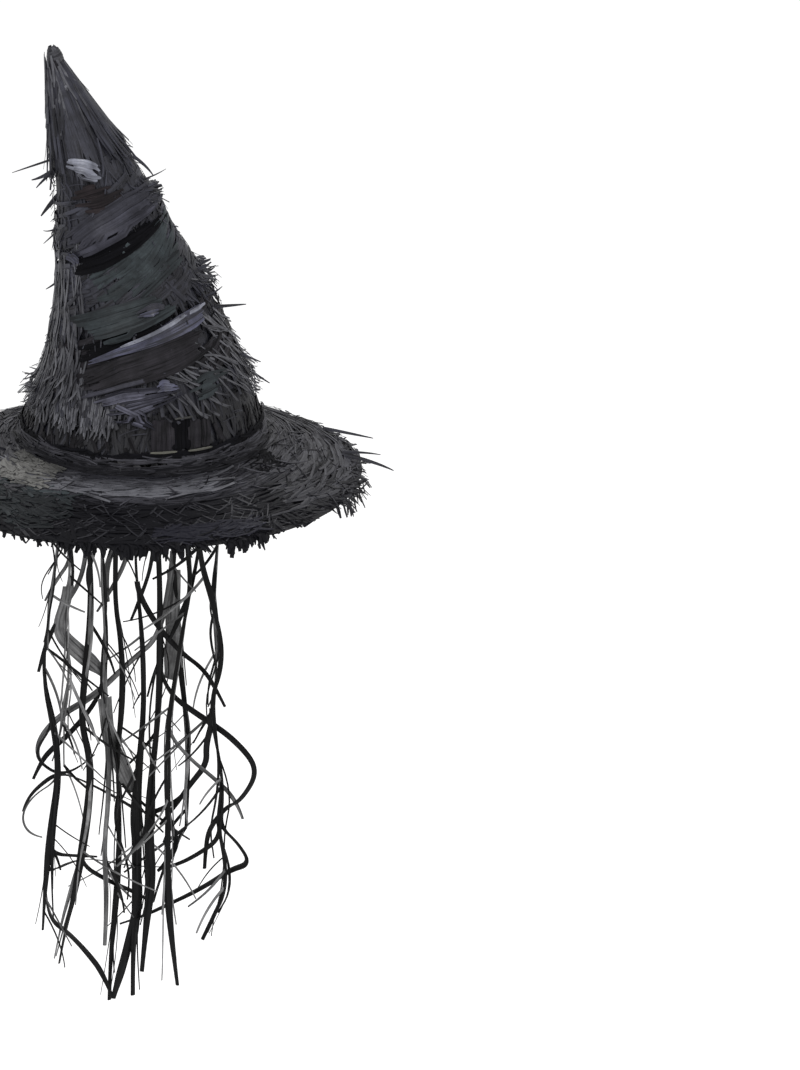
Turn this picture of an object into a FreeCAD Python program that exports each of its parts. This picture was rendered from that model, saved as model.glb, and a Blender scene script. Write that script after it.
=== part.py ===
import FreeCAD, Part
import math
import os
import Sketcher

# Witch hat of dyed raffia over a stiff foundation, with raffia hair knotted under the brim.
# Millimetres, +Z up, origin in the middle of the head opening. The hat's front is -Y and the
# point of the crown leans to -X.

# Driving sizes, in millimetres and degrees.
head_radius = 91            # inner radius of the sweatband, a 57 cm head
band_wall = 1.3
band_height = 32            # sweatband above the opening
band_flange = 4.5           # turned-out foot of the sweatband, sewn under the brim
board_gap = 0.9             # sweatband to brim board
board_wall = 2.4            # stiff brim board
brim_radius = 190           # brim board at its rim
brim_drop = 33              # how far the rim lies below the opening
flat_margin = 1             # level margin of the board past the hem of the last tier
brim_sides = 60             # flat lengths round the brim in the hoop, tape, mats and fringe
mat_wall = 1.6              # raffia mats sewn on the brim
mat_gap = 3                 # level margin to the upper mat
mat_margin = 1              # edges of the mats inside the edge tape and the hoop
under_mat_gap = 6           # level margin to the under mat
hoop_width = 6              # flat spring hoop that holds the rim round
hoop_wall = 1.2
tape_wall = 1.2             # edge tape round the rim
fringe_wall = 1.2
fringe_overlap = 12         # how far the fringe is sewn in over the mat
fringe_reach = 9            # how far the fringe reaches past the edge tape
fringe_gap = 0.6            # fringe above the mat
fringe_cutter = 20          # height of the cutters between the fringe's ends
foot_gap = 4.1              # sweatband to the outside of the crown's foot
foot_taper = 1              # how much the upright wall of the crown draws in
shell_wall = 2              # stiff crown foundation
shell_sides = 32
crown_height = 338          # last section of the foundation above the opening
crown_across = -71          # where the last section stands, towards -X
crown_lean = 18             # lean of the last section
crown_top_radius = 7.2
seam_tape_gap = 0.4         # tape over the seam of crown and brim
seam_tape_wall = 1.2
seam_tape_height = 13
tier_wall = 2               # raffia skirt of a tier
tier_gap = 1.8              # top of a tier above the foundation
tier_1_flare = 10.5         # how far a hem stands off the foundation, from the point down
tier_2_flare = 9.5
tier_3_flare = 11
tier_4_flare = 8
base_flare = 8              # hem of the last tier past the seam tape
base_hem_height = 9.5
point_reach = 13.7          # top of the first tier past the last section
point_radius = 6.2
cap_height = 8              # bound strip ends on the point
cap_radius = 3.4
notch_share = 0.62          # depth of the deepest notch, as a share of a strip's width
notch_inside = 11           # cutters of the notches inside and outside a hem's corners
notch_outside = 5
overlay_gap = 0.6           # strips laid over a tier
overlay_wall = 1.2
overlay_front = 10          # overlays end this far in front of the middle
overlay_margin = 4          # their cutting outlines past the hem
cord_radius = 1.6           # cord sewn under the brim, which the hair hangs from
cord_gap = 0.5              # loops to the sweatband's foot
knot_radius = 5.4           # hexagonal knot over its corners
knot_width = 11.6
knot_gap = 0.45             # knot to cord, so that a lock swings
knot_clearance = 1          # knot to brim board
loop_width = 3              # sewn loops that carry the cord
loop_depth = 6.4
loop_wall = 1.3
loop_gap = 0.1
first_lock = -52            # degrees from the middle of the back towards +X
lock_step = 18
strip_width = 5             # raffia strip of the hair
strip_wall = 1.8
tail_offset = 2.9           # each tail of a lock from the lock's middle
tail_start = 36             # straight run of a tail below its knot

# Sizes that follow from others.
foot_radius = head_radius + band_wall + foot_gap
base_hem_radius = foot_radius + seam_tape_gap + seam_tape_wall + base_flare
flat_radius = base_hem_radius + flat_margin
cord_ring_radius = head_radius + band_wall + band_flange + cord_gap + loop_depth / 2
cord_drop = board_wall + knot_clearance + knot_radius
point_across = crown_across - point_reach * math.sin(math.radians(crown_lean))
point_height = crown_height + point_reach * math.cos(math.radians(crown_lean))

# Sections of the foundation between the upright wall and the point: share of the way up, share
# of the way across, lean in degrees, and share of the wall's radius that is left.
crownBends = [
    (0.06, 0.014, 4, 0.927),
    (0.291, 0.127, 17, 0.644),
    (0.549, 0.408, 22, 0.406),
    (0.729, 0.606, 18, 0.2585),
]
crownSections = [(0, 0, 0, foot_radius), (0, band_height, 0, foot_radius - foot_taper)]
for up, aside, lean, wide in crownBends:
    crownSections.append((aside * crown_across,
                          band_height + up * (crown_height - band_height), lean,
                          crown_top_radius
                          + wide * (foot_radius - foot_taper - crown_top_radius)))
crownSections.append((crown_across, crown_height, crown_lean, crown_top_radius))
lastSection = len(crownSections) - 1

doc = FreeCAD.newDocument("witch_hat")
sheet = doc.addObject("Spreadsheet::Sheet", "sizes")
parts = []
rows = iter(range(1, 500))


def size(name, number):
    """Write one size into the sheet under its alias."""
    row = str(next(rows))
    sheet.set("A" + row, name.replace("_", " "))
    sheet.set("B" + row, str(number))
    sheet.setAlias("B" + row, name)


def value(name):
    """Read a size back from the sheet as a plain number."""
    return float(sheet.get(name))


# Every size named above with an underscore goes into the sheet under its own name.
for name, number in list(globals().items()):
    if "_" in name.strip("_") and isinstance(number, (int, float)):
        size(name, number)
for index, section in enumerate(crownSections):
    for name, number in zip(("across", "height", "lean", "radius"), section):
        size("section_%d_%s" % (index, name), number)
doc.recompute()


def keep(item, label):
    """Name a finished sub-part and put it on the export list."""
    item.Label = label
    parts.append(item)
    return item


def bind(item, expressions):
    """Tie properties of an object to the sheet."""
    for path, expression in expressions.items():
        item.setExpression(path, expression)


def revolved(label, corners):
    """A closed outline of (radius, height) sheet expressions, revolved about Z."""
    body = doc.addObject("PartDesign::Body", label + "_body")
    planes = {item.Role: item for item in body.Origin.OriginFeatures}
    sketch = body.newObject("Sketcher::SketchObject", label + "_profile")
    sketch.AttachmentSupport = [(planes["XZ_Plane"], "")]
    sketch.MapMode = "FlatFace"
    count = len(corners)
    rough = [FreeCAD.Vector(100 - 20 * math.cos(2 * math.pi * i / count),
                            -20 * math.sin(2 * math.pi * i / count), 0) for i in range(count)]
    for i in range(count):
        sketch.addGeometry(Part.LineSegment(rough[i], rough[(i + 1) % count]), False)
    for i in range(count):
        sketch.addConstraint(Sketcher.Constraint("Coincident", i, 2, (i + 1) % count, 1))
    for i, (radius, height) in enumerate(corners):
        for kind, name, rest, expression in (("DistanceX", "radius", rough[i].x, radius),
                                             ("DistanceY", "height", rough[i].y, height)):
            which = sketch.addConstraint(Sketcher.Constraint(kind, -1, 1, i, 1, rest))
            sketch.renameConstraint(which, "%s_%d" % (name, i))
            sketch.setExpression("Constraints.%s_%d" % (name, i), expression)
    turn = body.newObject("PartDesign::Revolution", label + "_turn")
    turn.Profile = (sketch, [""])
    turn.ReferenceAxis = (sketch, ["V_Axis"])
    return keep(body, label)


def polygonSection(label, sides, radius, across, height, lean):
    """A many-sided section, square to the crown's leaning axis."""
    polygon = doc.addObject("Part::RegularPolygon", label)
    polygon.Placement = FreeCAD.Placement(FreeCAD.Vector(), FreeCAD.Rotation(
        FreeCAD.Vector(0, -1, 0), 1))
    bind(polygon, {"Polygon": sides, "Circumradius": radius, "Placement.Base.x": across,
                   "Placement.Base.z": height, "Placement.Rotation.Angle": lean})
    return polygon


def cut(label, base, tool):
    piece = doc.addObject("Part::Cut", label)
    piece.Base = base
    piece.Tool = tool
    return piece


def common(label, base, tool):
    piece = doc.addObject("Part::Common", label)
    piece.Base = base
    piece.Tool = tool
    return piece


def facetsBetween(low, high):
    """Flat faces between two rings of corners, each facet split where it isn't flat."""
    faces = []
    count = len(low)
    for i in range(count):
        a, b = low[i], low[(i + 1) % count]
        c, d = high[(i + 1) % count], high[i]
        if abs((b - a).cross(d - a).normalize().dot(c - a)) < 1e-6:
            faces.append(Part.Face(Part.makePolygon([a, b, c, d, a])))
        else:
            faces.append(Part.Face(Part.makePolygon([a, b, c, a])))
            faces.append(Part.Face(Part.makePolygon([a, c, d, a])))
    return faces


def solidOf(label, faces):
    """A document object of the solid that the flat faces enclose."""
    solid = Part.Solid(Part.Shell(faces))
    if solid.Volume < 0:
        solid.reverse()
    piece = doc.addObject("Part::Feature", label)
    piece.Shape = solid
    return piece


def flatLengths(label, outline, directions):
    """A closed outline of (radius, height) carried round Z in flat lengths between directions."""
    rings = [[FreeCAD.Vector(radius * math.cos(turn), radius * math.sin(turn), height)
              for radius, height in outline] for turn in directions]
    faces = []
    for here, ahead in zip(rings, rings[1:]):
        faces += facetsBetween(here, ahead)
    if not rings[0][0].isEqual(rings[-1][0], 1e-6):
        faces += [Part.Face(Part.makePolygon(ring + ring[:1])) for ring in (rings[0], rings[-1])]
    return solidOf(label, faces)


def frustum(label, sides, stations, inset="0"):
    """A solid with flat sides through bound sections. A station is (radius, across, height, lean)."""
    rings = []
    for i, (radius, across, height, lean) in enumerate(stations):
        polygon = polygonSection("%s_%d" % (label, i), sides, "%s - (%s)" % (radius, inset),
                                 across, height, lean)
        polygon.recompute()
        rings.append([vertex.Point for vertex in polygon.Shape.OrderedVertexes])
    faces = [Part.Face(Part.makePolygon(ring + ring[:1])) for ring in (rings[0], rings[-1])]
    for low, high in zip(rings, rings[1:]):
        faces += facetsBetween(low, high)
    return solidOf(label, faces)


def skirt(label, sides, stations, wall, lift="0"):
    """A hollow frustum of flat strips, with its outer face lifted off the stations."""
    outer = frustum(label + "_outer", sides, stations, "-(%s)" % lift)
    inner = frustum(label + "_inner", sides, stations, "%s - (%s)" % (wall, lift))
    return cut(label + "_skirt", outer, inner)


# Gaps between the strip ends of a hem come in uneven depths, taken in turn.
notchShares = (1, 0.6, 0.85, 0.45, 0.75)


def notchRing(label, count, depth, frame, corner, point, along, run):
    """Three-sided prisms on the corners of a hem, each as wide over its corners as it cuts deep.

    corner, point and along are functions of a corner's outward direction: where a prism starts,
    which way its point looks and which way it runs.
    """
    ring = []
    for i in range(count):
        turn = 2 * math.pi * i / count
        out = FreeCAD.Vector(math.cos(turn), math.sin(turn), 0)
        prism = doc.addObject("Part::Prism", "%s_%d" % (label, i))
        prism.Polygon = 3
        prism.Circumradius = depth * notchShares[i % len(notchShares)]
        prism.Height = run
        turned = FreeCAD.Rotation(point(out), along(out).cross(point(out)), along(out), "ZXY")
        prism.Placement = frame.multiply(FreeCAD.Placement(corner(out), turned))
        ring.append(prism)
    group = doc.addObject("Part::Compound", label)
    group.Links = ring
    return group


upwards = FreeCAD.Vector(0, 0, 1)


def hemNotches(label, count, radius, depth, frame):
    """Notches that point up into a hanging hem, cut through it along its radii."""
    inside = value("notch_inside")
    return notchRing(label, count, depth, frame, lambda out: out * (radius - inside),
                     lambda out: upwards, lambda out: out, inside + value("notch_outside"))


def rimNotches(label, count, radius, depth, drop, run):
    """Notches that point inwards from a level rim, cut through it from above."""
    frame = FreeCAD.Placement(FreeCAD.Vector(0, 0, -drop), FreeCAD.Rotation())
    return notchRing(label, count, depth, frame, lambda out: out * radius - upwards * (run / 2),
                     lambda out: out * -1, lambda out: upwards, run)


def block(label, length, low, high, height, across, middle, lean):
    """A box between two depths, leaning about Y, used to cut out a strip's outline."""
    box = doc.addObject("Part::Box", label)
    box.Length = length
    box.Width = high - low
    box.Height = height
    turned = FreeCAD.Rotation(FreeCAD.Vector(0, -1, 0), lean)
    corner = turned.multVec(FreeCAD.Vector(-length / 2, 0, -height / 2))
    box.Placement = FreeCAD.Placement(FreeCAD.Vector(across, low, middle) + corner, turned)
    return box


# Sweatband: a vertical band with a foot turned out under the brim board.
bandOut = "sizes.head_radius + sizes.band_wall"
revolved("sweatband", [
    ("sizes.head_radius", "-sizes.board_wall - sizes.band_wall"),
    (bandOut + " + sizes.band_flange", "-sizes.board_wall - sizes.band_wall"),
    (bandOut + " + sizes.band_flange", "-sizes.board_wall"),
    (bandOut, "-sizes.board_wall"),
    (bandOut, "sizes.band_height"),
    ("sizes.head_radius", "sizes.band_height"),
])

# Brim: a level margin under the crown, then a straight slope down to the rim. Its pieces are laid
# up in flat lengths round the hat, so they lie face to face.
slope = math.atan(value("brim_drop") / (value("brim_radius") - value("flat_radius")))
roundBrim = [2 * math.pi * i / brim_sides for i in range(brim_sides)] + [0]


def onSlope(radius, lift):
    """Point over the slope's top face at a radius, lifted square to the slope."""
    fall = (radius - value("flat_radius")) * math.tan(slope)
    return radius + lift * math.sin(slope), lift * math.cos(slope) - fall


def slopeRing(label, inner, outer, low, high):
    """A ring that lies on the slope between two radii and two lifts."""
    outline = [onSlope(inner, low), onSlope(outer, low), onSlope(outer, high), onSlope(inner, high)]
    return flatLengths(label, outline, roundBrim)


rim = value("brim_radius")
rimOut = rim + value("tape_wall")
hoopIn = rim - value("hoop_width")
boardIn = value("head_radius") + value("band_wall") + value("board_gap")
boardLow = -value("board_wall")
hoopLow = boardLow - value("hoop_wall")
kneeIn = value("flat_radius") + boardLow * math.tan(slope / 2)
boardOutline = [(boardIn, boardLow), (kneeIn, boardLow), onSlope(rim, boardLow), onSlope(rim, 0),
                (value("flat_radius"), 0), (boardIn, 0)]
keep(flatLengths("board", boardOutline, roundBrim), "brim_board")
keep(slopeRing("hoop", hoopIn, rim, hoopLow, boardLow), "brim_hoop")
keep(slopeRing("tape", rim, rimOut, hoopLow, value("mat_wall")), "rim_tape")
keep(slopeRing("upper_mat", value("flat_radius") + value("mat_gap"), rim - value("mat_margin"), 0,
               value("mat_wall")), "brim_upper_mat")
keep(slopeRing("under_mat", value("flat_radius") + value("under_mat_gap"),
               hoopIn - value("mat_margin"), boardLow - value("mat_wall"), boardLow),
     "brim_under_mat")

# Ragged fringe over the rim: a flat ring of strip ends with notches between them.
fringeLow = value("mat_wall") + value("fringe_gap")
fringeHigh = fringeLow + value("fringe_wall")
fringeOut = rimOut + value("fringe_reach")
fringeRing = slopeRing("fringe", rim - value("fringe_overlap"), fringeOut, fringeLow, fringeHigh)
fringeNotches = rimNotches("fringe_notch", brim_sides, onSlope(fringeOut, fringeHigh)[0],
                           value("fringe_reach"), value("brim_drop"), value("fringe_cutter"))
keep(cut("fringe_cut", fringeRing, fringeNotches), "rim_fringe")

# Crown foundation: a stiff cone that stands upright round the head and then leans to the left.


def between(item, low, share):
    """Sheet expression for a section's size at a share of the way to the next section."""
    first = "sizes.section_%d_%s" % (low, item)
    second = "sizes.section_%d_%s" % (low + 1, item)
    return "(%s + %s * (%s - %s))" % (first, share, second, first)


foundation = [tuple("sizes.section_%d_%s" % (i, item)
                    for item in ("radius", "across", "height", "lean"))
              for i in range(lastSection + 1)]
keep(skirt("crown", "sizes.shell_sides", foundation, "sizes.shell_wall"), "crown_shell")

seamIn = value("foot_radius") + value("seam_tape_gap")
seamOut = seamIn + value("seam_tape_wall")
roundShell = [2 * math.pi * i / shell_sides for i in range(shell_sides)] + [0]
keep(flatLengths("seam_tape", [(seamIn, 0), (seamOut, 0), (seamOut, value("seam_tape_height")),
                               (seamIn, value("seam_tape_height"))], roundShell),
     "crown_seam_tape")

# Tiers from the point down: the section that the hem hangs at, how far the top reaches past the
# next section up, and the number of strips. Each hem lies over the top of the next tier down.
tiers = {
    "crown_tier_1": (5, 0, 20),
    "crown_tier_2": (4, 0.12, 24),
    "crown_tier_3": (3, 0.2, 30),
    "crown_tier_4": (2, 0.15, 36),
    "crown_tier_5": (1, 0.1, 36),
}


def turnedTo(across, height, lean):
    """The frame of a section, from the sheet."""
    return FreeCAD.Placement(FreeCAD.Vector(across, 0, height),
                             FreeCAD.Rotation(FreeCAD.Vector(0, -1, 0), lean))


tierStations = {}
tierMiddles = {}
for label, (section, reach, strips) in tiers.items():
    if section == lastSection - 1:
        top = ("sizes.point_radius", "sizes.point_across", "sizes.point_height",
               "sizes.section_%d_lean" % lastSection)
    else:
        top = (between("radius", section + 1, reach) + " + sizes.tier_gap + sizes.tier_wall",
               between("across", section + 1, reach), between("height", section + 1, reach),
               between("lean", section + 1, reach))
    if section == 1:
        hem = ("sizes.base_hem_radius", "0", "sizes.base_hem_height", "0")
        hemRadius = value("base_hem_radius")
        frame = turnedTo(0, value("base_hem_height"), 0)
    else:
        flare = "tier_%d_flare" % (lastSection - section)
        hem = ("sizes.section_%d_radius + sizes.%s" % (section, flare),
               "sizes.section_%d_across" % section, "sizes.section_%d_height" % section,
               "sizes.section_%d_lean" % section)
        hemRadius = value("section_%d_radius" % section) + value(flare)
        frame = turnedTo(value("section_%d_across" % section),
                         value("section_%d_height" % section),
                         value("section_%d_lean" % section))
    tierStations[label] = (hem, top, str(strips))
    tierMiddles[label] = (frame.Base, hemRadius, frame.Rotation)
    stripWidth = 2 * math.pi * hemRadius / strips
    plain = skirt(label, str(strips), (hem, top), "sizes.tier_wall")
    notches = hemNotches(label + "_notch", strips, hemRadius,
                         stripWidth * value("notch_share"), frame)
    keep(cut(label + "_cut", plain, notches), label)

# Bound strip ends on the point.
pointLean = "sizes.section_%d_lean" % lastSection
capLow = ("sizes.point_radius", "sizes.point_across", "sizes.point_height", pointLean)
capHigh = ("sizes.cap_radius", "sizes.point_across - sizes.cap_height * sin(%s)" % pointLean,
           "sizes.point_height + sizes.cap_height * cos(%s)" % pointLean, pointLean)
keep(frustum("cap", tierStations["crown_tier_1"][2], (capLow, capHigh)), "point_cap")

# Wide strips laid over the front of the tiers: tier, length, height, height above the tier's hem,
# place beside the hem's middle, and lean.
overlays = {
    "front_patch": ("crown_tier_3", 76, 30, 16, -6, 17),
    "wrap_ribbon": ("crown_tier_4", 106, 19, 54, 17, 29),
    "sheen_strip": ("crown_tier_4", 62, 15, 14, 21, 8),
    "front_tab_left": ("crown_tier_5", 20, 25, 23.5, 21, 0),
    "front_tab_right": ("crown_tier_5", 20, 25, 24.5, 47, 0),
}
for label, (tier, length, tall, above, beside, lean) in overlays.items():
    hem, top, strips = tierStations[tier]
    hemMiddle, hemRadius, hemTurn = tierMiddles[tier]
    layer = skirt(label + "_layer", strips, (hem, top), "sizes.overlay_wall",
                  "sizes.overlay_gap + sizes.overlay_wall")
    outline = block(label + "_outline", length, -hemRadius - value("overlay_margin"),
                    -value("overlay_front"), tall, hemMiddle.x + beside, hemMiddle.z + above, lean)
    keep(common(label + "_piece", layer, outline), label)

# Cord under the back of the brim, which carries the hair. It runs straight through each knot and
# each loop, and turns between them.
lockCount = 6
quarterStep = math.radians(value("lock_step") / 4)
cordTurns = [math.radians(90 - value("first_lock") - (k / 2 - 0.75) * value("lock_step"))
             for k in range(2 * lockCount + 2)]
cordOutline = []
for corner in range(6):
    turn = math.radians(60 * corner)
    across = value("cord_ring_radius") + value("cord_radius") * math.cos(turn)
    cordOutline.append((across / math.cos(quarterStep),
                        value("cord_radius") * math.sin(turn) - value("cord_drop")))
keep(flatLengths("cord", cordOutline, cordTurns), "hair_cord")


def alongX(label, radius, length):
    """A six-sided bar along X, centred, with a flat below."""
    bar = doc.addObject("Part::Prism", label)
    bar.Polygon = 6
    bar.Placement = FreeCAD.Placement(FreeCAD.Vector(), FreeCAD.Rotation(
        FreeCAD.Vector(0, 1, 0), FreeCAD.Vector(0, 0, 1), FreeCAD.Vector(1, 0, 0), "ZXY"))
    bind(bar, {"Circumradius": radius, "Height": length, "Placement.Base.x":
               "-(%s) / 2" % length})
    return bar


def pierced(label, solid, boreRadius, length):
    """A solid with a six-sided hole for the cord along X, given by the radius inside its flats."""
    bore = alongX(label + "_bore", "(%s) / cos(30)" % boreRadius, length + " + 2")
    return cut(label + "_pierced", solid, bore)


def onCord(item, angle):
    """Set a piece on the cord at an angle from the middle of the back."""
    item.Placement = FreeCAD.Placement(FreeCAD.Vector(),
                                       FreeCAD.Rotation(FreeCAD.Vector(0, 0, -1), 1))
    bind(item, {"Placement.Base.x": "sizes.cord_ring_radius * sin(%s)" % angle,
                "Placement.Base.y": "sizes.cord_ring_radius * cos(%s)" % angle,
                "Placement.Base.z": "-sizes.cord_drop",
                "Placement.Rotation.Angle": angle})
    return item


loops = []
for index in range(lockCount + 1):
    box = doc.addObject("Part::Box", "loop_%d_block" % index)
    bind(box, {"Length": "sizes.loop_width", "Width": "sizes.loop_depth",
               "Height": "sizes.cord_drop - sizes.board_wall + sizes.cord_radius"
                         " + sizes.loop_wall",
               "Placement.Base.x": "-sizes.loop_width / 2",
               "Placement.Base.y": "-sizes.loop_depth / 2",
               "Placement.Base.z": "-sizes.cord_radius - sizes.loop_wall"})
    loops.append(onCord(pierced("loop_%d" % index, box, "sizes.cord_radius + sizes.loop_gap",
                                "sizes.loop_width"),
                        "(sizes.first_lock + (%d - 0.5) * sizes.lock_step)" % index))
loopGroup = doc.addObject("Part::Compound", "loops")
loopGroup.Links = loops
keep(loopGroup, "cord_loops")


def tailShape(route):
    """A flat strip swept along straight runs joined by tangent arcs.

    The first point lies under the knot. A point is (beside, outwards, height) from the knot's
    middle on the cord, beside and outwards along and square to the cord.
    """
    points = [FreeCAD.Vector(beside, value("cord_ring_radius") + outwards, up)
              for beside, outwards, up in route]
    edges = []
    radii = []
    start = points[0]
    for before, here, after in zip(points, points[1:], points[2:]):
        back = before - here
        ahead = after - here
        half = (math.pi - back.getAngle(ahead)) / 2
        run = min(back.Length, ahead.Length)
        radii.append(0.45 * run / math.tan(half))
        back.normalize()
        ahead.normalize()
        arcStart = here + back * (0.45 * run)
        arcEnd = here + ahead * (0.45 * run)
        inward = (back + ahead).normalize()
        middle = here + inward * (radii[-1] / math.cos(half) - radii[-1])
        edges.append(Part.LineSegment(start, arcStart).toShape())
        edges.append(Part.Arc(arcStart, middle, arcEnd).toShape())
        start = arcEnd
    edges.append(Part.LineSegment(start, points[-1]).toShape())
    path = Part.Wire(edges)
    wide = value("strip_width")
    thin = value("strip_wall")
    corners = [points[0] + FreeCAD.Vector(x * wide / 2, y * thin / 2, 0)
               for x, y in ((-1, -1), (1, -1), (1, 1), (-1, 1), (-1, -1))]
    solid = path.makePipeShell([Part.makePolygon(corners)], True, False)
    return solid, path.Length, min(radii)


# Routes of the hair's tails, from the left of the front view to the right, two to a lock:
# (beside, outwards, height) with the height from the opening; the start lies under the knot.
tailRoutes = [
    [(-6, 2, -100), (4, -3, -150), (-5, 3, -203), (-10, 3, -252), (-1, -2, -300), (9, 0, -347),
     (-1, 1, -394), (-7, 3, -440), (-9, 5, -492)],
    [(8, -3, -98), (11, 4, -144), (7, 10, -188), (12, 15, -232)],
    [(-8, 2, -102), (-4, 6, -152), (-9, 9, -205), (-6, 5, -255), (-11, 9, -303), (-8, 12, -346)],
    [(7, -2, -100), (11, -3, -158), (12, -1, -212), (7, 1, -262), (2, 0, -303), (11, -3, -342),
     (11, 1, -385), (4, 1, -427), (-2, 4, -468), (-9, 9, -503), (-13, 13, -536)],
    [(-6, 1, -108), (-9, 0, -165), (-5, -2, -222), (-6, 1, -278), (-3, -2, -325), (-3, -4, -378),
     (-7, -1, -427), (-4.5, -3, -478), (-6, 0, -522)],
    [(6, 3, -103), (5, 2, -152), (5, 4, -196), (11, 3, -238), (11, 1, -290), (7, 5, -345),
     (10, 7, -400), (8, 4, -452), (5, 8, -505), (1.5, 9, -545), (1.5, 11, -580)],
    [(-7, 2, -98), (-10, 1, -150), (-6, 3, -200), (-3, 1, -246), (-1.5, -1, -293), (-6, 2, -345),
     (-9, 1, -395), (-8, 4, -445), (-9.5, 3, -495), (-12, 5, -540), (-12, 8, -576)],
    [(8, -1, -105), (12, 0, -160), (12.5, 2, -215), (12.5, 0, -270), (9.5, -2, -322),
     (4, -1, -370), (2.5, -3, -416), (5, -1, -460), (0, -3, -508), (-3.5, -4, -548)],
    [(-8, 4, -103), (-10, 8, -155), (-9, 12, -206), (-6, 14, -255), (1, 13, -308), (4, 10, -360),
     (1, 12, -412)],
    [(6, -2, -97), (6.5, 0, -140), (9, 2, -178), (2, -1, -220), (-3, -4, -258), (-9, -5, -300),
     (-11, -5, -347), (-10, -4, -397), (-11, -5, -445), (-10, -3, -487), (-6, -4, -522),
     (-2, -2, -560)],
    [(-8, -2, -100), (-12, -4, -146), (-1, 1, -186), (9, 3, -222), (8, 4, -250), (0, 0, -278),
     (1, 1, -308), (9, 3, -343), (9.5, 5, -376), (6, 3, -404), (11, 7, -436), (9, 8, -466),
     (-1, 4, -490), (-9, -1, -512)],
    [(4, 6, -100), (-3, 11, -150), (-8, 13, -200), (-5, 15, -250), (-10, 16, -298)],
]
knotLow = value("cord_drop") + value("knot_radius") * math.cos(math.pi / 6)
for lock in range(lockCount):
    angle = "(sizes.first_lock + %d * sizes.lock_step)" % lock
    hexagon = alongX("knot_%d_block" % (lock + 1), "sizes.knot_radius", "sizes.knot_width")
    knot = pierced("knot_%d" % (lock + 1), hexagon, "sizes.cord_radius + sizes.knot_gap",
                   "sizes.knot_width")
    keep(onCord(knot, angle), "lock_%d_knot" % (lock + 1))
    for side, name in ((-1, "left"), (1, "right")):
        beside = side * value("tail_offset")
        route = [(beside, 0, -knotLow), (beside, 0, -knotLow - value("tail_start"))]
        route += tailRoutes[2 * lock + (side + 1) // 2]
        solid, length, tightest = tailShape(route)
        label = "lock_%d_%s_tail" % (lock + 1, name)
        tail = doc.addObject("Part::Feature", label)
        tail.Shape = solid
        turn = value("first_lock") + lock * value("lock_step")
        tail.Placement = FreeCAD.Placement(FreeCAD.Vector(),
                                           FreeCAD.Rotation(FreeCAD.Vector(0, 0, -1), turn))
        keep(tail, label)
        section = value("strip_width") * value("strip_wall")
        print("%s: %.0f mm long, tightest radius %.0f mm, volume %.3f of section x length"
              % (label, length, tightest, solid.Volume / section / length))

doc.recompute()
for item in doc.Objects:
    if "Invalid" in item.State or "Error" in item.State:
        raise RuntimeError("%s did not build" % item.Name)
for item in parts:
    if item.Shape.isNull() or not item.Shape.isValid() or not item.Shape.Solids:
        raise RuntimeError("%s has no valid solid" % item.Label)

os.makedirs("parts", exist_ok=True)
for item in parts:
    item.Shape.exportStep(os.path.join("parts", item.Label + ".step"))
print("%d sub-parts written" % len(parts))
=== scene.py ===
import math
import bpy
import numpy as np
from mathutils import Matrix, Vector


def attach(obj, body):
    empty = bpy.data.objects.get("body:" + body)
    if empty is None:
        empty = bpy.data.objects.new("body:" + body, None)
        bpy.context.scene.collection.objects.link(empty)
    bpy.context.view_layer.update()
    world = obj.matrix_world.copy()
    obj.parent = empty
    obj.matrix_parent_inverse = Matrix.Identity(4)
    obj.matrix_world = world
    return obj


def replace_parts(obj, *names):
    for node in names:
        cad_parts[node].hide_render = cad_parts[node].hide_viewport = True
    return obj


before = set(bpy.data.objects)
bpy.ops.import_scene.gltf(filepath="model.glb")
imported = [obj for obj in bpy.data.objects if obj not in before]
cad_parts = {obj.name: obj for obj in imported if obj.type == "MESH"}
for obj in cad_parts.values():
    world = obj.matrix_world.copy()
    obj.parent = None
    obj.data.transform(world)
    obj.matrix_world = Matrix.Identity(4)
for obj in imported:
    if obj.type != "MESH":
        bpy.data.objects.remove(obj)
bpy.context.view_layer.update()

# Dressed raffia witch hat. Metres, +Z up, front towards -Y, the point leans to -X.
# Sizes marked as millimetres are divided by 1000 where they are used.
print("hat frame loaded")


def unit(vectors):
    # v / |v|, row by row
    return vectors / np.maximum(np.linalg.norm(vectors, axis=-1, keepdims=True), 1e-12)


def smoothStep(x):
    # 3x^2 - 2x^3 between 0 and 1
    x = np.clip(x, 0, 1)
    return x * x * (3 - 2 * x)


def ramp(share, start, end):
    # smooth step from 0 at start to 1 at end
    return smoothStep((share - start) / (end - start))


def alongProfile(share, profile):
    # the profile's values spread evenly over 0 to 1, read at each share
    return np.interp(share, np.linspace(0, 1, len(profile)), profile)


def putMesh(name, points, quads, finish, uv, tone, body="hat", sharpAngle=35):
    # one mesh object from whole arrays: points (n, 3), quads (m, 4), uv (n, 2), tone (n)
    mesh = bpy.data.meshes.new(name)
    mesh.vertices.add(len(points))
    mesh.vertices.foreach_set("co", np.float32(points).ravel())
    mesh.loops.add(quads.size)
    mesh.loops.foreach_set("vertex_index", np.int32(quads).ravel())
    mesh.polygons.add(len(quads))
    mesh.polygons.foreach_set("loop_start", np.arange(0, quads.size, 4, dtype=np.int32))
    mesh.update(calc_edges=True)
    layer = mesh.uv_layers.new(name="strip")
    layer.data.foreach_set("uv", np.float32(uv[quads.ravel()]).ravel())
    mark = mesh.attributes.new("tone", "FLOAT", "POINT")
    mark.data.foreach_set("value", np.float32(tone))
    mesh.polygons.foreach_set("use_smooth", np.ones(len(quads), dtype=bool))
    mesh.set_sharp_from_angle(angle=math.radians(sharpAngle))
    mesh.materials.append(raffia[finish])
    piece = bpy.data.objects.new(name, mesh)
    bpy.context.scene.collection.objects.link(piece)
    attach(piece, body)
    return piece


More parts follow.
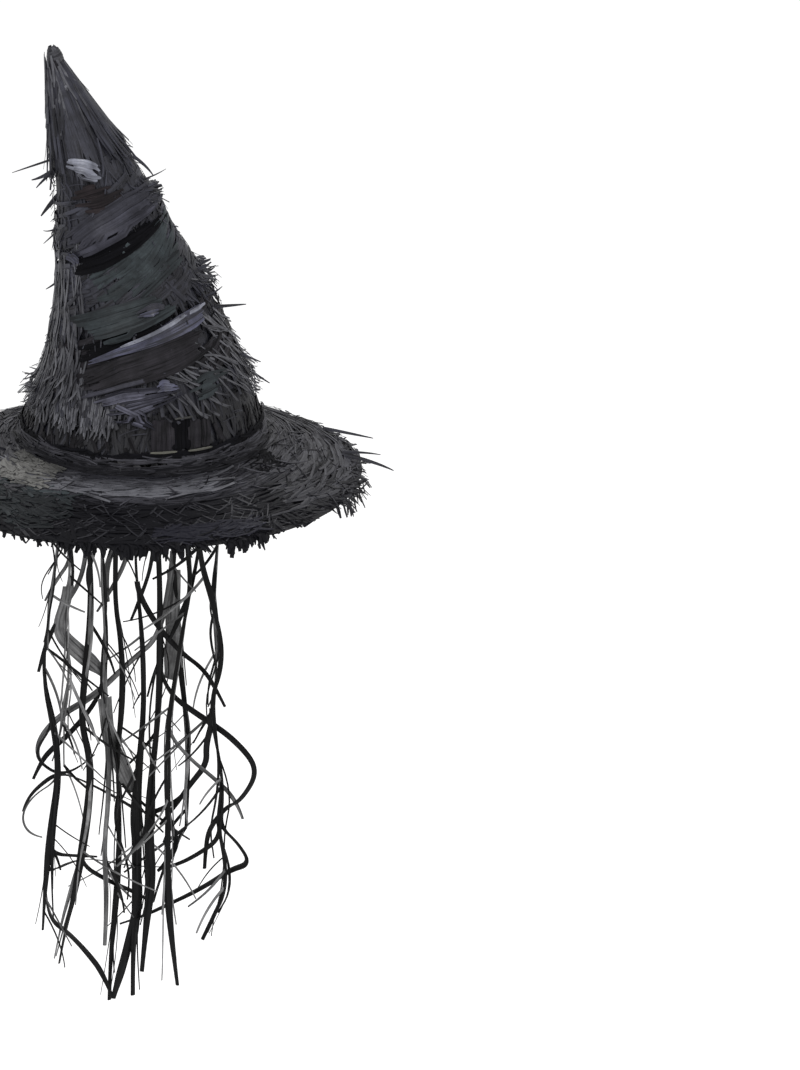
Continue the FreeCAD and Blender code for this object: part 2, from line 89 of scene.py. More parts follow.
def gridQuads(rows, columns):
    # quads between neighbouring rows and columns; the last column meets the first
    row, column = np.meshgrid(np.arange(rows - 1), np.arange(columns), indexing="ij")
    after = (column + 1) % columns
    return np.stack([row * columns + column, row * columns + after,
                     (row + 1) * columns + after, (row + 1) * columns + column], -1).reshape(-1, 4)


skinWall = dict(thickness=0.0010, sharpAngle=60)


def skinMesh(name, points, uv, tone, finish):
    # a sheet from a grid of points (row, column), closed round and given a wall
    piece = putMesh(name, points.reshape(-1, 3), gridQuads(*points.shape[:2]), finish,
                    uv.reshape(-1, 2), tone.ravel(), sharpAngle=skinWall["sharpAngle"])
    wall = piece.modifiers.new("wall", "SOLIDIFY")
    wall.thickness = skinWall["thickness"]
    wall.offset = -1
    return piece


shadeLoss = 0.75


def shadedTone(tone, shade):
    # tone times the shade, the brim's painted light and shade, less loss (1 - shade) where the shade
    # is under 1
    return tone * shade + shadeLoss * np.minimum(shade - 1, 0)


def stripPoints(middle, sideways, outward, width, thick, bow, columns):
    # section point = M + a w S + (bow w (1 - 4a^2) +- thick / 2) N, for a from -1/2 to 1/2 and back
    half = np.linspace(-0.5, 0.5, columns)
    across = np.concatenate([half, half[::-1]])
    side = np.repeat([0.5, -0.5], len(half))
    across = across[None, None, :, None]
    wide = width[:, :, None, None]
    rise = bow[:, :, None, None] * wide * (1 - 4 * across ** 2) + side[None, None, :, None] * thick
    points = middle[:, :, None] + sideways[:, :, None] * across * wide + outward[:, :, None] * rise
    return points, (across * wide)[..., 0]


uvShift = 5    # metres by which strips are moved at most on the fibre pattern, so that they differ


def stripMesh(name, middle, sideways, outward, width, finish, tone, seed, thick=0.0003, bow=0.1,
              columns=3, shade=1, body="hat", slot="black_raffia"):
    # many flat strips at once: arrays (strip, station, 3), a closed section with the given columns
    # on each face, and a cap on each end; uv is metres across and metres along
    count, stations = middle.shape[:2]
    bow = np.broadcast_to(np.asarray(bow, dtype=float), (count, stations))
    points, across = stripPoints(middle, sideways, outward, width, thick, bow, columns)
    ring = points.shape[2]
    cap = np.array([[i, i + 1, ring - 2 - i, ring - 1 - i] for i in range(ring // 2 - 1)])
    lastRing = (stations - 1) * ring
    oneStrip = np.concatenate([gridQuads(stations, ring), cap, lastRing + cap[:, ::-1]])
    quads = oneStrip[None] + (np.arange(count) * stations * ring)[:, None, None]
    step = np.linalg.norm(np.diff(middle, axis=1), axis=-1)
    along = np.concatenate([np.zeros((count, 1)), np.cumsum(step, axis=1)], axis=1)
    draw = np.random.default_rng(seed)
    shift = draw.uniform(0, uvShift, (count, 1, 1))
    uv = np.stack([across + shift, np.broadcast_to(along[:, :, None] + shift, across.shape)], -1)
    tones = shadedTone(draw.uniform(*tone, count)[:, None], shade)
    tones = np.broadcast_to(tones[..., None], across.shape)
    return putMesh(name, points.reshape(-1, 3), quads.reshape(-1, 4)[:, ::-1], finish,
                   uv.reshape(-1, 2), tones.ravel(), body)


def facing(middle, towards):
    # strips that face a direction: sideways = towards x travel, outward = travel x sideways
    travel = unit(np.gradient(middle, axis=-2))
    sideways = unit(np.cross(towards, travel))
    return middle, sideways, np.cross(travel, sideways)


def laidOn(surface, first, second, lift, side=1):
    # strips on a surface S(a, b): N = dS/da x dS/db, middle = S + lift N
    here = surface(first, second)
    step = 1e-4
    normal = side * unit(np.cross(surface(first + step, second) - here,
                                  surface(first, second + step) - here))
    return facing(here + normal * lift[..., None], normal)


def newGroup(name, inputs, outputs):
    # a node group with sockets {name: kind}, its input sockets and its output sockets
    group = bpy.data.node_groups.new(name, "ShaderNodeTree")
    for way, sockets in (("INPUT", inputs), ("OUTPUT", outputs)):
        for label, kind in sockets.items():
            group.interface.new_socket(label, in_out=way, socket_type="NodeSocket" + kind)
    return group, group.nodes.new("NodeGroupInput").outputs, group.nodes.new("NodeGroupOutput").inputs


def addNode(tree, kind, inputs, **settings):
    # a shader node with its settings and inputs, {input name or number: output socket or value}
    node = tree.nodes.new("ShaderNode" + kind)
    for key, setting in settings.items():
        setattr(node, key, setting)
    for key, source in inputs.items():
        if isinstance(source, bpy.types.NodeSocket):
            tree.links.new(source, node.inputs[key])
        else:
            node.inputs[key].default_value = source
    return node


def mathNode(tree, operation, *values, **settings):
    # the operation on numbers or output sockets
    return addNode(tree, "Math", dict(enumerate(values)), operation=operation, **settings).outputs[0]


def rangeNode(tree, value, source, target, **settings):
    # value carried from the range source to the range target, and held at its ends
    return addNode(tree, "MapRange", {"Value": value, "From Min": source[0], "From Max": source[1],
                                      "To Min": target[0], "To Max": target[1]}, **settings).outputs[0]


def noiseNode(tree, place, scale, detail, roughness):
    # noise at scale times the place, mostly between 0.3 and 0.7
    return addNode(tree, "TexNoise", {"Vector": place, "Scale": scale, "Detail": detail,
                                      "Roughness": roughness}).outputs["Fac"]


# the two fibre noises, each with its squeeze across, along and through the strip, its detail and
# its roughness; the share of the thin one; and where the wide one splits
fibreLook = dict(wide=((430, 14, 1), 3.0, 0.6), thin=((1900, 42, 1), 2.0, 0.7), thinShare=0.35,
    split=(0.36, 0.42))


def fibreGroup():
    # fine lengthwise fibres: noise squeezed along the strip, in two scales, plus dark splits
    group, start, end = newGroup(
        "raffiaFibre", {"Coords": "Vector", "Fineness": "Float", "Splits": "Float"},
        {"Streak": "Float"})
    scaled = addNode(group, "VectorMath", {0: start["Coords"], "Scale": start["Fineness"]},
                     operation="SCALE").outputs[0]
    wide, thin = [
        noiseNode(group, addNode(group, "Mapping", {"Vector": scaled, "Scale": squeeze}).outputs[0],
                  1.0, detail, roughness)
        for squeeze, detail, roughness in (fibreLook["wide"], fibreLook["thin"])]
    share = fibreLook["thinShare"]
    streak = mathNode(group, "MULTIPLY_ADD", thin, share,
                      mathNode(group, "MULTIPLY", wide, 1 - share))
    split = rangeNode(group, wide, fibreLook["split"], (0, 1), interpolation_type="SMOOTHSTEP")
    held = mathNode(group, "MAXIMUM", split, mathNode(group, "SUBTRACT", 1, start["Splits"]))
    group.links.new(mathNode(group, "MULTIPLY", streak, held), end["Streak"])
    return group


# ranges of the fibre and of the blotches, from and to; the blotches' scale, detail and roughness
shadeLook = dict(toneShare=0.5, fibre=((0.3, 0.7), (-0.3, 0.6)), blotch=((0.35, 0.65), (0.45, 1.6)),
    blotches=(60.0, 4.0, 0.65))


def shadeGroup():
    # colour of one strip: dark to pale by (share tone + fibre) blotch
    group, start, end = newGroup(
        "stripShade", {"Dark": "Color", "Pale": "Color", "Tone": "Float", "Streak": "Float",
                       "Place": "Vector"}, {"Color": "Color"})
    fibre = rangeNode(group, start["Streak"], *shadeLook["fibre"])
    paleness = mathNode(group, "MULTIPLY_ADD", start["Tone"], shadeLook["toneShare"], fibre)
    blotches = noiseNode(group, start["Place"], *shadeLook["blotches"])
    blotch = rangeNode(group, blotches, *shadeLook["blotch"])
    both = mathNode(group, "MULTIPLY", paleness, blotch, use_clamp=True)
    mix = addNode(group, "Mix", {"Factor": both, 6: start["Dark"], 7: start["Pale"]},
                  data_type="RGBA")
    group.links.new(mix.outputs[2], end["Color"])
    return group


clothFuzz = (420.0, 4.0, 0.5)    # scale, detail and roughness


def weaveGroup():
    # plain weave (sin x + sin y) sin z on object coordinates, and a fuzz of fine noise
    group, start, end = newGroup("plainWeave", {"Coords": "Vector", "Threads": "Float"},
                                 {"Weave": "Float", "Fuzz": "Float"})
    scaled = addNode(group, "VectorMath", {0: start["Coords"], "Scale": start["Threads"]},
                     operation="SCALE").outputs[0]
    waves = [mathNode(group, "SINE", axis)
             for axis in addNode(group, "SeparateXYZ", {0: scaled}).outputs]
    weave = mathNode(group, "MULTIPLY", mathNode(group, "ADD", *waves[:2]), waves[2])
    group.links.new(weave, end["Weave"])
    group.links.new(noiseNode(group, start["Coords"], *clothFuzz), end["Fuzz"])
    return group


raffiaFibre = fibreGroup()
stripShade = shadeGroup()
plainWeave = weaveGroup()


def startMaterial(name):
    # a new material, its node tree and its own shader
    material = bpy.data.materials.new(name)
    material.use_nodes = True
    tree = material.node_tree
    shader = next(node for node in tree.nodes if node.type == "BSDF_PRINCIPLED")
    return material, tree, shader


def finishShader(tree, shader, colour, roughness, height, values):
    # colour, roughness and bump into the shader
    bump = addNode(tree, "Bump", {"Height": height, "Strength": values["bump"],
                                  "Distance": values["depth"]})
    tree.links.new(colour, shader.inputs["Base Color"])
    tree.links.new(roughness, shader.inputs["Roughness"])
    tree.links.new(bump.outputs[0], shader.inputs["Normal"])
    shader.inputs["Specular IOR Level"].default_value = values["specular"]


def raffiaMaterial(name, values):
    # a strip's colour, gloss and fibres, from its own uv and tone
    material, tree, shader = startMaterial(name)
    strip = addNode(tree, "UVMap", {}, uv_map="strip").outputs[0]
    tone = addNode(tree, "Attribute", {}, attribute_name="tone").outputs["Fac"]
    place = addNode(tree, "TexCoord", {}).outputs["Object"]
    streak = addNode(tree, "Group", {"Coords": strip, "Fineness": values["fineness"],
                                     "Splits": values["splits"]}, node_tree=raffiaFibre).outputs[0]
    shade = addNode(tree, "Group", {"Dark": (*values["dark"], 1), "Pale": (*values["pale"], 1),
                                    "Tone": tone, "Streak": streak, "Place": place},
                    node_tree=stripShade)
    rough = rangeNode(tree, streak, shadeLook["fibre"][0], values["roughness"][::-1])
    finishShader(tree, shader, shade.outputs[0], rough, streak, values)
    return material


plainRaffia = dict(splits=0.7, fineness=1, bump=0.5, depth=0.0006)   # what most finishes share
raffiaKinds = {
    "blackRaffia": dict(dark=(0.0035, 0.0035, 0.0055), pale=(0.036, 0.037, 0.052),
        roughness=(0.44, 0.68), specular=0.26),
    "brimRaffia": dict(dark=(0.003, 0.003, 0.0046), pale=(0.092, 0.091, 0.108), roughness=(0.5, 0.75),
        specular=0.12),
    "ashRaffia": dict(dark=(0.01, 0.01, 0.014), pale=(0.115, 0.116, 0.132), roughness=(0.38, 0.6),
        specular=0.3, splits=0.6),
    "brownBlackRaffia": dict(dark=(0.003, 0.0028, 0.0036), pale=(0.024, 0.022, 0.027),
        roughness=(0.52, 0.75), specular=0.12),
    "rustRaffia": dict(dark=(0.004, 0.003, 0.0036), pale=(0.024, 0.018, 0.02), roughness=(0.5, 0.72),
        specular=0.12),
    "slateLeaf": dict(dark=(0.006, 0.006, 0.01), pale=(0.044, 0.044, 0.06), roughness=(0.42, 0.66),
        specular=0.2, fineness=0.8),
    "greenGreyLeaf": dict(dark=(0.006, 0.0075, 0.009), pale=(0.034, 0.043, 0.048),
        roughness=(0.42, 0.66), specular=0.16, fineness=0.7),
    # a pale grey raffia, for the pale patch on the brim's left and the faint painted highlight on the
    # tabs' top
    "wornRaffia": dict(dark=(0.026, 0.026, 0.025), pale=(0.16, 0.158, 0.152), roughness=(0.45, 0.65),
        specular=0.2, splits=0.6, bump=0.4),
    # painted shadow: near-black strips laid where shade falls, under flaps, between the tabs and at
    # the crown's foot
    "gapBlack": dict(dark=(0.0012, 0.0012, 0.0018), pale=(0.004, 0.004, 0.006), roughness=(0.7, 0.9),
        specular=0.08, splits=0.6, bump=0.4),
    # painted highlight: the pale line along the tabs' lower edges
    "strawEdge": dict(dark=(0.04, 0.039, 0.032), pale=(0.15, 0.147, 0.122), roughness=(0.4, 0.6),
        specular=0.3, splits=0.4, bump=0.3),
    # painted sheen: a pale lilac base colour that stands for light on glossy black strips
    "lilacGloss": dict(dark=(0.008, 0.008, 0.014), pale=(0.096, 0.099, 0.16), roughness=(0.26, 0.5),
        specular=0.3, splits=0.6, fineness=0.7),
    "violetSheen": dict(dark=(0.014, 0.014, 0.02), pale=(0.15, 0.15, 0.2), roughness=(0.45, 0.65),
        specular=0.1, splits=0.6, fineness=0.7),
    # painted highlight: a pale base colour for white glints on glossy strips
    "paleGloss": dict(dark=(0.02, 0.021, 0.03), pale=(0.27, 0.28, 0.34), roughness=(0.24, 0.45),
        specular=0.4, splits=0.6, fineness=0.7),
    "hairRaffia": dict(dark=(0.0008, 0.0008, 0.001), pale=(0.009, 0.009, 0.01),
        roughness=(0.45, 0.65), specular=0.14, splits=0.5, fineness=1.2, bump=0.35),
    "greyWisp": dict(dark=(0.055, 0.055, 0.056), pale=(0.36, 0.36, 0.365), roughness=(0.5, 0.7),
        specular=0.2, splits=0.5, fineness=1.2, bump=0.3),
}
raffia = {name: raffiaMaterial(name, {**plainRaffia, **values})
          for name, values in raffiaKinds.items()}


def clothMaterial(name, values):
    # woven or felted cloth: weave for bump, fuzz for colour and roughness
    material, tree, shader = startMaterial(name)
    place = addNode(tree, "TexCoord", {}).outputs["Object"]
    woven = addNode(tree, "Group", {"Coords": place, "Threads": values["threads"]},
                    node_tree=plainWeave)
    weave, fuzz = woven.outputs
    colour = addNode(tree, "Mix", {"Factor": fuzz, 6: (*values["dark"], 1),
                                   7: (*values["pale"], 1)}, data_type="RGBA").outputs[2]
    rough = rangeNode(tree, fuzz, (0, 1), values["roughness"])
    height = mathNode(tree, "MULTIPLY_ADD", weave, values["weave"], fuzz)
    finishShader(tree, shader, colour, rough, height, values)
    return material


clothKinds = {
    "cottonTape": dict(dark=(0.008, 0.008, 0.009), pale=(0.03, 0.03, 0.033), threads=4200, weave=0.5,
        roughness=(0.75, 0.95), bump=0.6, specular=0.2),
    "stiffBoard": dict(dark=(0.012, 0.012, 0.013), pale=(0.038, 0.038, 0.041), threads=1500,
        weave=0.15, roughness=(0.7, 0.9), bump=0.5, specular=0.25),
    "hoopPlastic": dict(dark=(0.02, 0.02, 0.02), pale=(0.04, 0.04, 0.04), threads=600, weave=0.05,
        roughness=(0.35, 0.5), bump=0.15, specular=0.5),
}
weaveDepth = 0.0004
cloth = {name: clothMaterial(name, dict(values, depth=weaveDepth))
         for name, values in clothKinds.items()}
print("raffia and cloth mixed")


crownTiers = {  # hem and top: across, height, lean in degrees and radius, in metres
    "crown_tier_1": dict(hem=(-0.047, 0.2551, 18, 0.0365), top=(-0.0782, 0.35, 18, 0.0058), sag=0,
        strips=120, twist=0.1, tone=(0.25, 0.9), seed=11),
    "crown_tier_2": dict(hem=(-0.03, 0.2, 22, 0.0485), top=(-0.0464, 0.265, 18, 0.0311), sag=0.0026,
        strips=150, twist=0.16, tone=(0.1, 0.6), seed=12),
    "crown_tier_3": dict(hem=(-0.009, 0.121, 17, 0.073), top=(-0.0318, 0.211, 21.2, 0.0435),
        sag=0.0042, strips=190, twist=0.22, tone=(0.2, 0.8), seed=13),
    "crown_tier_4": dict(hem=(-0.001, 0.0504, 4, 0.097), top=(-0.012, 0.1329, 17.8, 0.0647),
        sag=0.003, strips=240, twist=0.2, tone=(-0.2, 0.6), seed=14),
    "crown_tier_5": dict(hem=(0, 0.0095, 0, 0.106), top=(-0.0018, 0.0574, 5.3, 0.0903), sag=0,
        strips=240, twist=0.12, tone=(-0.9, 0.1), seed=15),
}
# width, lift, flare, rib and inset in millimetres; starts, ends and hem as shares of the height
tierLook = dict(width=(2.2, 5), lift=(0, 1.1), flare=(0, 4), shortFlare=0.25, flareFrom=0.72,
    start=(0.8, 1), past=(-0.08, 0.12), short=0.3, shortEnd=(0.15, 0.65), pointed=0.6, pointLoss=0.8,
    pointFrom=0.8, bluntLoss=0.15, twistPower=1.5, slim=(1.3, 0.2), bow=0.08, stations=7,
    stripSeed=100)
skinLook = dict(rows=18, columns=144, hem=(-0.05, 0.02), hemHeight=0.25, rib=(-0.6, 0.2),
    topRib=0.4, inset=1.2, tone=(0, 0.4))


smallestRing = 0.0005


def ringPoint(turn, across, height, lean, radius):
    # a point of a leaning ring: centre + radius (cos turn E1 + sin turn E2)
    lean = np.radians(lean)
    radius = np.maximum(radius, smallestRing)
    out = radius * np.cos(turn)
    return np.stack([across + out * np.cos(lean), radius * np.sin(turn),
                     height + out * np.sin(lean)], -1)


def tierSurface(name):
    # S(turn, up): the ring goes straight from hem to top, and its radius is drawn in by
    # 4 sag up (1 - up)
    tier = crownTiers[name]

    def surface(turn, up):
        ring = [low + up * (high - low) for low, high in zip(tier["hem"], tier["top"])]
        ring[3] = ring[3] - 4 * tier["sag"] * np.clip(up * (1 - up), 0, 1)
        return ringPoint(turn, *ring)
    return surface


# the outer coat touches every tier's hem; its level runs from 0 at the lowest hem to 5 at the
# point, and coatDips says how far it is drawn in between two hems
coatRings = np.array([crownTiers["crown_tier_%d" % tier]["hem"] for tier in (5, 4, 3, 2, 1)]
                     + [crownTiers["crown_tier_1"]["top"]]).T
coatDips = np.array([0.0018, 0.0044, 0.0041, 0.0032, 0.0003])


def coatRing(level):
    # across, height, lean and radius of the coat, straight between the hems and carried on past
    # them; the radius is drawn in by dip (1 - |2 part - 1|^3)
    level = np.asarray(level, dtype=float)
    low = np.clip(np.floor(level).astype(int), 0, len(coatDips) - 1)
    part = level - low
    ring = [row[low] + part * (row[low + 1] - row[low]) for row in coatRings]
    ring[3] = ring[3] - coatDips[low] * (1 - np.minimum(np.abs(2 * part - 1), 1) ** 3)
    return ring


def coatSurface(turn, level):
    # S(turn, level) on the coat
    return ringPoint(turn, *coatRing(level))


coatSearch = dict(low=-0.6, high=5.0, halvings=30, edge=0.995)


def coatFront(across, height):
    # (turn, level) of the coat's front at (across, height), by halving the range of levels
    low = np.full(across.shape, coatSearch["low"])
    high = np.full(across.shape, coatSearch["high"])
    for _ in range(coatSearch["halvings"]):
        level = (low + high) / 2
        centre, middle, lean, radius = coatRing(level)
        above = height > middle + (across - centre) * np.tan(np.radians(lean))
        low, high = np.where(above, level, low), np.where(above, high, level)
    side = (across - centre) / np.cos(np.radians(lean)) / radius
    return -np.arccos(np.clip(side, -coatSearch["edge"], coatSearch["edge"])), level


def tierSkin(name, tier):
    # the close inner layer: S plus a ribbed relief, and a ragged hem
    look = skinLook
    draw = np.random.default_rng(tier["seed"])
    turn = np.linspace(0, 2 * math.pi, look["columns"], endpoint=False)
    turns, ups = np.meshgrid(turn, np.linspace(0, 1, look["rows"]))
    ragged = draw.uniform(*look["hem"], turn.shape) * (1 - ramp(ups, 0, look["hemHeight"]))
    rib = draw.uniform(*look["rib"], turn.shape) * (1 - (1 - look["topRib"]) * ups)
    ups = ups - ragged
    here = tierSurface(name)(turns, ups)
    length = np.linalg.norm(here[-1, 0] - here[0, 0])
    relief = (rib - look["inset"])[..., None] / 1000
    here = here + unit(here - here.mean(axis=1, keepdims=True)) * relief
    uv = np.stack([turns * tier["hem"][3], ups * length], -1)
    tone = np.broadcast_to(draw.uniform(*look["tone"], turn.shape), turns.shape)
    return skinMesh(name.replace("crown_tier", "tierSkin"), here, uv, tone, "blackRaffia")


def tierStrips(name, tier):
    # strips from the top of a tier to past its hem, some of them short, with a little twist
    count, look = tier["strips"], tierLook
    draw = np.random.default_rng(tier["seed"] + look["stripSeed"])
    column = (count, 1)
    share = np.linspace(0, 1, look["stations"])[None]          # 0 at the top, 1 at the tip
    start = draw.uniform(*look["start"], column)
    short = draw.uniform(size=column) < look["short"]
    end = np.where(short, draw.uniform(*look["shortEnd"], column),
                   -draw.uniform(*look["past"], column))
    up = start + (end - start) * share
    turn = (2 * math.pi * (np.arange(count) + draw.uniform(-0.5, 0.5, count)) / count)[:, None]
    turn = turn + draw.normal(0, tier["twist"], column) * share ** look["twistPower"]
    flare = draw.uniform(*look["flare"], column) * np.where(short, look["shortFlare"], 1)
    lift = (draw.uniform(*look["lift"], column) + flare * ramp(share, look["flareFrom"], 1)) / 1000
    hem, top = tier["hem"][3], tier["top"][3]
    gain, least = look["slim"]                       # strips grow slim where the ring is small
    slim = np.clip((hem + up * (top - hem)) / hem * gain, least, 1)
    point = look["pointLoss"] * ramp(share, look["pointFrom"], 1)
    tip = 1 - np.where(draw.uniform(size=column) < look["pointed"], point,
                       look["bluntLoss"] * share)
    width = draw.uniform(*look["width"], column) / 1000 * slim * tip
    stripMesh(name.replace("crown_tier", "tierStrips"),
              *laidOn(tierSurface(name), turn, up, lift), width, "blackRaffia", tier["tone"],
              tier["seed"], bow=look["bow"])


for tierName, tier in crownTiers.items():
    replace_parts(tierSkin(tierName, tier), tierName)
    tierStrips(tierName, tier)
print("crown tiers laid")


brim = dict(flat=0.107, rim=0.190, drop=0.033, knee=0.004, board=0.0026)


def brimTop(turn, radius):
    # level inside the knee, then a slope of drop / (rim - flat); the knee is a soft plus
    slope = brim["drop"] / (brim["rim"] - brim["flat"])
    fall = slope * brim["knee"] * np.logaddexp(0, (radius - brim["flat"]) / brim["knee"])
    return np.stack([radius * np.cos(turn), radius * np.sin(turn), -fall], -1)


def brimUnder(turn, radius):
    # the same slope seen from below, with the turn reversed so that it faces down
    return brimTop(-turn, radius) - np.array([0, 0, brim["board"]])


# gain, slope value and the radii where the slope begins, for the brim's painted light and shade
paintedBrimLook = dict(gain=1.2, slope=0.8, inner=0.126, outer=0.152)


def paintedBrimLight(turn, radius):
    # painted light and shade on the brim's strips, as a factor on their tone: 1 + gain front on the
    # flat part, painted lighter towards the front, and w (1 - front) on the slope, painted darker
    # towards the front, where front = ((1 - sin turn) / 2)^2 and w is the slope's own value
    front = ((1 - np.sin(turn)) / 2) ** 2
    slope = ramp(radius, paintedBrimLook["inner"], paintedBrimLook["outer"])
    return (1 - slope) * (1 + paintedBrimLook["gain"] * front) + slope * paintedBrimLook["slope"] * (1 - front)


looseLook = dict(stations=7, bend=0.6, curlFrom=0.15, tipFrom=0.36, tipLoss=0.75, bow=0.05)


def scatter(name, values):
    # strips laid over a surface S(turn, place): each has a middle, a heading from the hoop, and a
    # length l; turn = t0 + l cos(heading) / reach, place = p0 + l sin(heading) / scale
    draw = np.random.default_rng(values["seed"])
    surface, scale = values["surface"], values["scale"]
    column = (values["count"], 1)
    share = np.linspace(-0.5, 0.5, looseLook["stations"])[None]
    turn0 = np.radians(draw.uniform(*values["turns"], column))
    place0 = draw.uniform(*values["places"], column)
    heading = np.radians(draw.uniform(*values["heading"], column))
    if values["both"]:
        heading = heading * np.where(draw.uniform(size=column) < 0.5, -1, 1)
    length = draw.uniform(*values["length"], column) / 1000
    flat = surface is not coatSurface                  # place is the radius there
    reach = place0 if flat else coatRing(place0)[3]
    bend = draw.uniform(-1, 1, column) * looseLook["bend"] * share ** 2
    turn = turn0 + length * share * np.cos(heading) / reach
    place = np.minimum(place0 + length * share * np.sin(heading) / scale, values["limit"])
    place = place + bend * length * values["bend"] / scale
    loose = draw.uniform(*values["curl"], column) * ramp(share, looseLook["curlFrom"], 0.5)
    lift = (draw.uniform(*values["lift"], column) + loose) / 1000
    tip = looseLook["tipLoss"] * ramp(np.abs(share), looseLook["tipFrom"], 0.5)
    tip = 1 - tip * draw.uniform(0, 1, column)
    width = draw.uniform(*values["width"], column) / 1000 * tip
    # on the brim's top, the strips' tone carries the brim's painted light and shade
    return stripMesh(name, *laidOn(surface, turn, place, lift, -1 if flat else 1), width,
                     values["finish"], values["tone"], values["seed"], bow=looseLook["bow"],
                     shade=paintedBrimLight(turn0, place0) if surface is brimTop else 1)


# loose layers over the crown; turns and headings in degrees, -90 is the front and 0 the right,
# places in levels of the coat, scale in metres a level, and length, width, lift and curl in
# millimetres
crownLayer = dict(surface=coatSurface, turns=(-180, 180), both=False, curl=(0, 1), limit=10,
    bend=0.5, finish="blackRaffia")
crownLayers = {
    "upperWraps": dict(count=60, places=(3.05, 3.6), heading=(4, 20), length=(30, 70), scale=0.062,
        width=(3, 6), lift=(0.8, 2), bend=0, tone=(0.2, 0.8), seed=71),
    "middleWraps": dict(count=150, places=(2.15, 2.95), heading=(6, 24), length=(40, 100),
        scale=0.083, width=(3, 7), lift=(1, 2.6), tone=(0, 1.1), seed=72),
    "lowerWraps": dict(count=90, places=(1.3, 1.95), heading=(4, 22), length=(40, 90), scale=0.074,
        width=(3, 7), lift=(1, 2.4), finish="brownBlackRaffia", tone=(0.1, 0.7), seed=73),
    "rightFan": dict(count=70, turns=(-75, 25), places=(0.95, 1.75), heading=(-65, -25),
        length=(20, 50), scale=0.074, width=(1, 2.6), lift=(1.8, 3.6), curl=(0, 6),
        finish="ashRaffia", tone=(0.1, 0.9), seed=74),
    "leftFan": dict(count=46, turns=(155, 235), places=(0.9, 1.7), heading=(-100, -60),
        length=(25, 60), scale=0.074, width=(1.2, 3), lift=(1.2, 3), curl=(0, 8), finish="ashRaffia",
        tone=(0.1, 0.8), seed=75),
    "leftLengths": dict(count=130, turns=(165, 236), places=(1.2, 2.9), heading=(-104, -76),
        length=(20, 60), scale=0.08, width=(1, 2.8), lift=(2.2, 3.6), finish="ashRaffia",
        tone=(0, 0.9), seed=76),
    "leftBase": dict(count=120, turns=(188, 256), places=(0.74, 1.08), heading=(-110, -70),
        length=(14, 34), scale=0.045, width=(0.8, 2.6), lift=(1.6, 3.2), curl=(0, 2), bend=0.6,
        finish="ashRaffia", tone=(0, 0.95), seed=64),
    "footShade": dict(count=220, places=(0.11, 0.22), heading=(0, 14), both=True, length=(10, 30),
        scale=0.042, width=(1.4, 3.4), lift=(3, 3.8), bend=0.6, finish="gapBlack", tone=(0, 1),
        seed=63),
    "footRounds": dict(count=420, places=(-0.24, 0.12), heading=(0, 8), both=True, length=(20, 60),
        scale=0.042, width=(1, 3), lift=(3.2, 4.4), finish="brimRaffia", tone=(-0.6, 0.35), seed=62),
    "greenWraps": dict(count=34, turns=(-95, -32), places=(2.35, 2.8), heading=(10, 26),
        length=(30, 60), scale=0.083, width=(3, 6), lift=(2.4, 3.2), finish="greenGreyLeaf",
        tone=(0.2, 1.2), seed=61),
    "middleCorner": dict(count=40, turns=(-28, 12), places=(2.08, 2.3), heading=(-95, -30),
        length=(14, 28), scale=0.079, width=(1, 3), lift=(1.2, 3), curl=(3, 10), bend=0.6,
        tone=(0.1, 0.9), seed=59),
    "upperCorner": dict(count=46, turns=(-34, 14), places=(3.16, 3.42), heading=(-100, -20),
        length=(12, 26), scale=0.062, width=(1, 3), lift=(1.2, 3), curl=(2, 9), bend=0.6,
        tone=(0.1, 0.9), seed=60),
    "hemSpikes": dict(count=170, places=(0.95, 4.1), heading=(-115, -50), length=(12, 28), scale=0.07,
        width=(0.8, 2.4), lift=(0.6, 1.8), curl=(1, 6), tone=(0.1, 0.9), seed=77),
    "tipPale": dict(count=60, places=(4.45, 4.92), heading=(-98, -84), length=(12, 30), scale=0.1,
        width=(1.2, 2.6), lift=(0.8, 1.6), curl=(0, 0.6), bend=0, finish="ashRaffia", tone=(0, 0.9),
        seed=70),
    "leftHem": dict(count=40, turns=(163, 206), places=(0.96, 1.22), heading=(-118, -62),
        length=(14, 30), scale=0.074, width=(0.7, 2.2), lift=(1, 2.4), curl=(2, 11), bend=0.6,
        finish="ashRaffia", tone=(0, 0.8), seed=66),
    "rightHem": dict(count=34, turns=(-24, 22), places=(0.94, 1.2), heading=(-118, -62),
        length=(14, 28), scale=0.074, width=(0.7, 2.2), lift=(1, 2.4), curl=(2, 10), bend=0.6,
        finish="ashRaffia", tone=(0, 0.7), seed=65),
    "fineFrays": dict(count=300, places=(0.6, 3.9), heading=(-160, 20), length=(8, 20), scale=0.07,
        width=(0.4, 1), lift=(0.8, 2.6), curl=(-1, 3), bend=0.6, tone=(0.3, 1), seed=78),
    "baseFluff": dict(count=170, places=(-0.05, 0.5), heading=(-130, -50), length=(12, 30),
        scale=0.042, width=(1.5, 4.5), lift=(0.8, 2.2), curl=(0, 2), bend=0.6,
        finish="brownBlackRaffia", tone=(-0.7, 0.3), seed=79),
}
for layerName, values in crownLayers.items():
    scatter(layerName, {**crownLayer, **values})


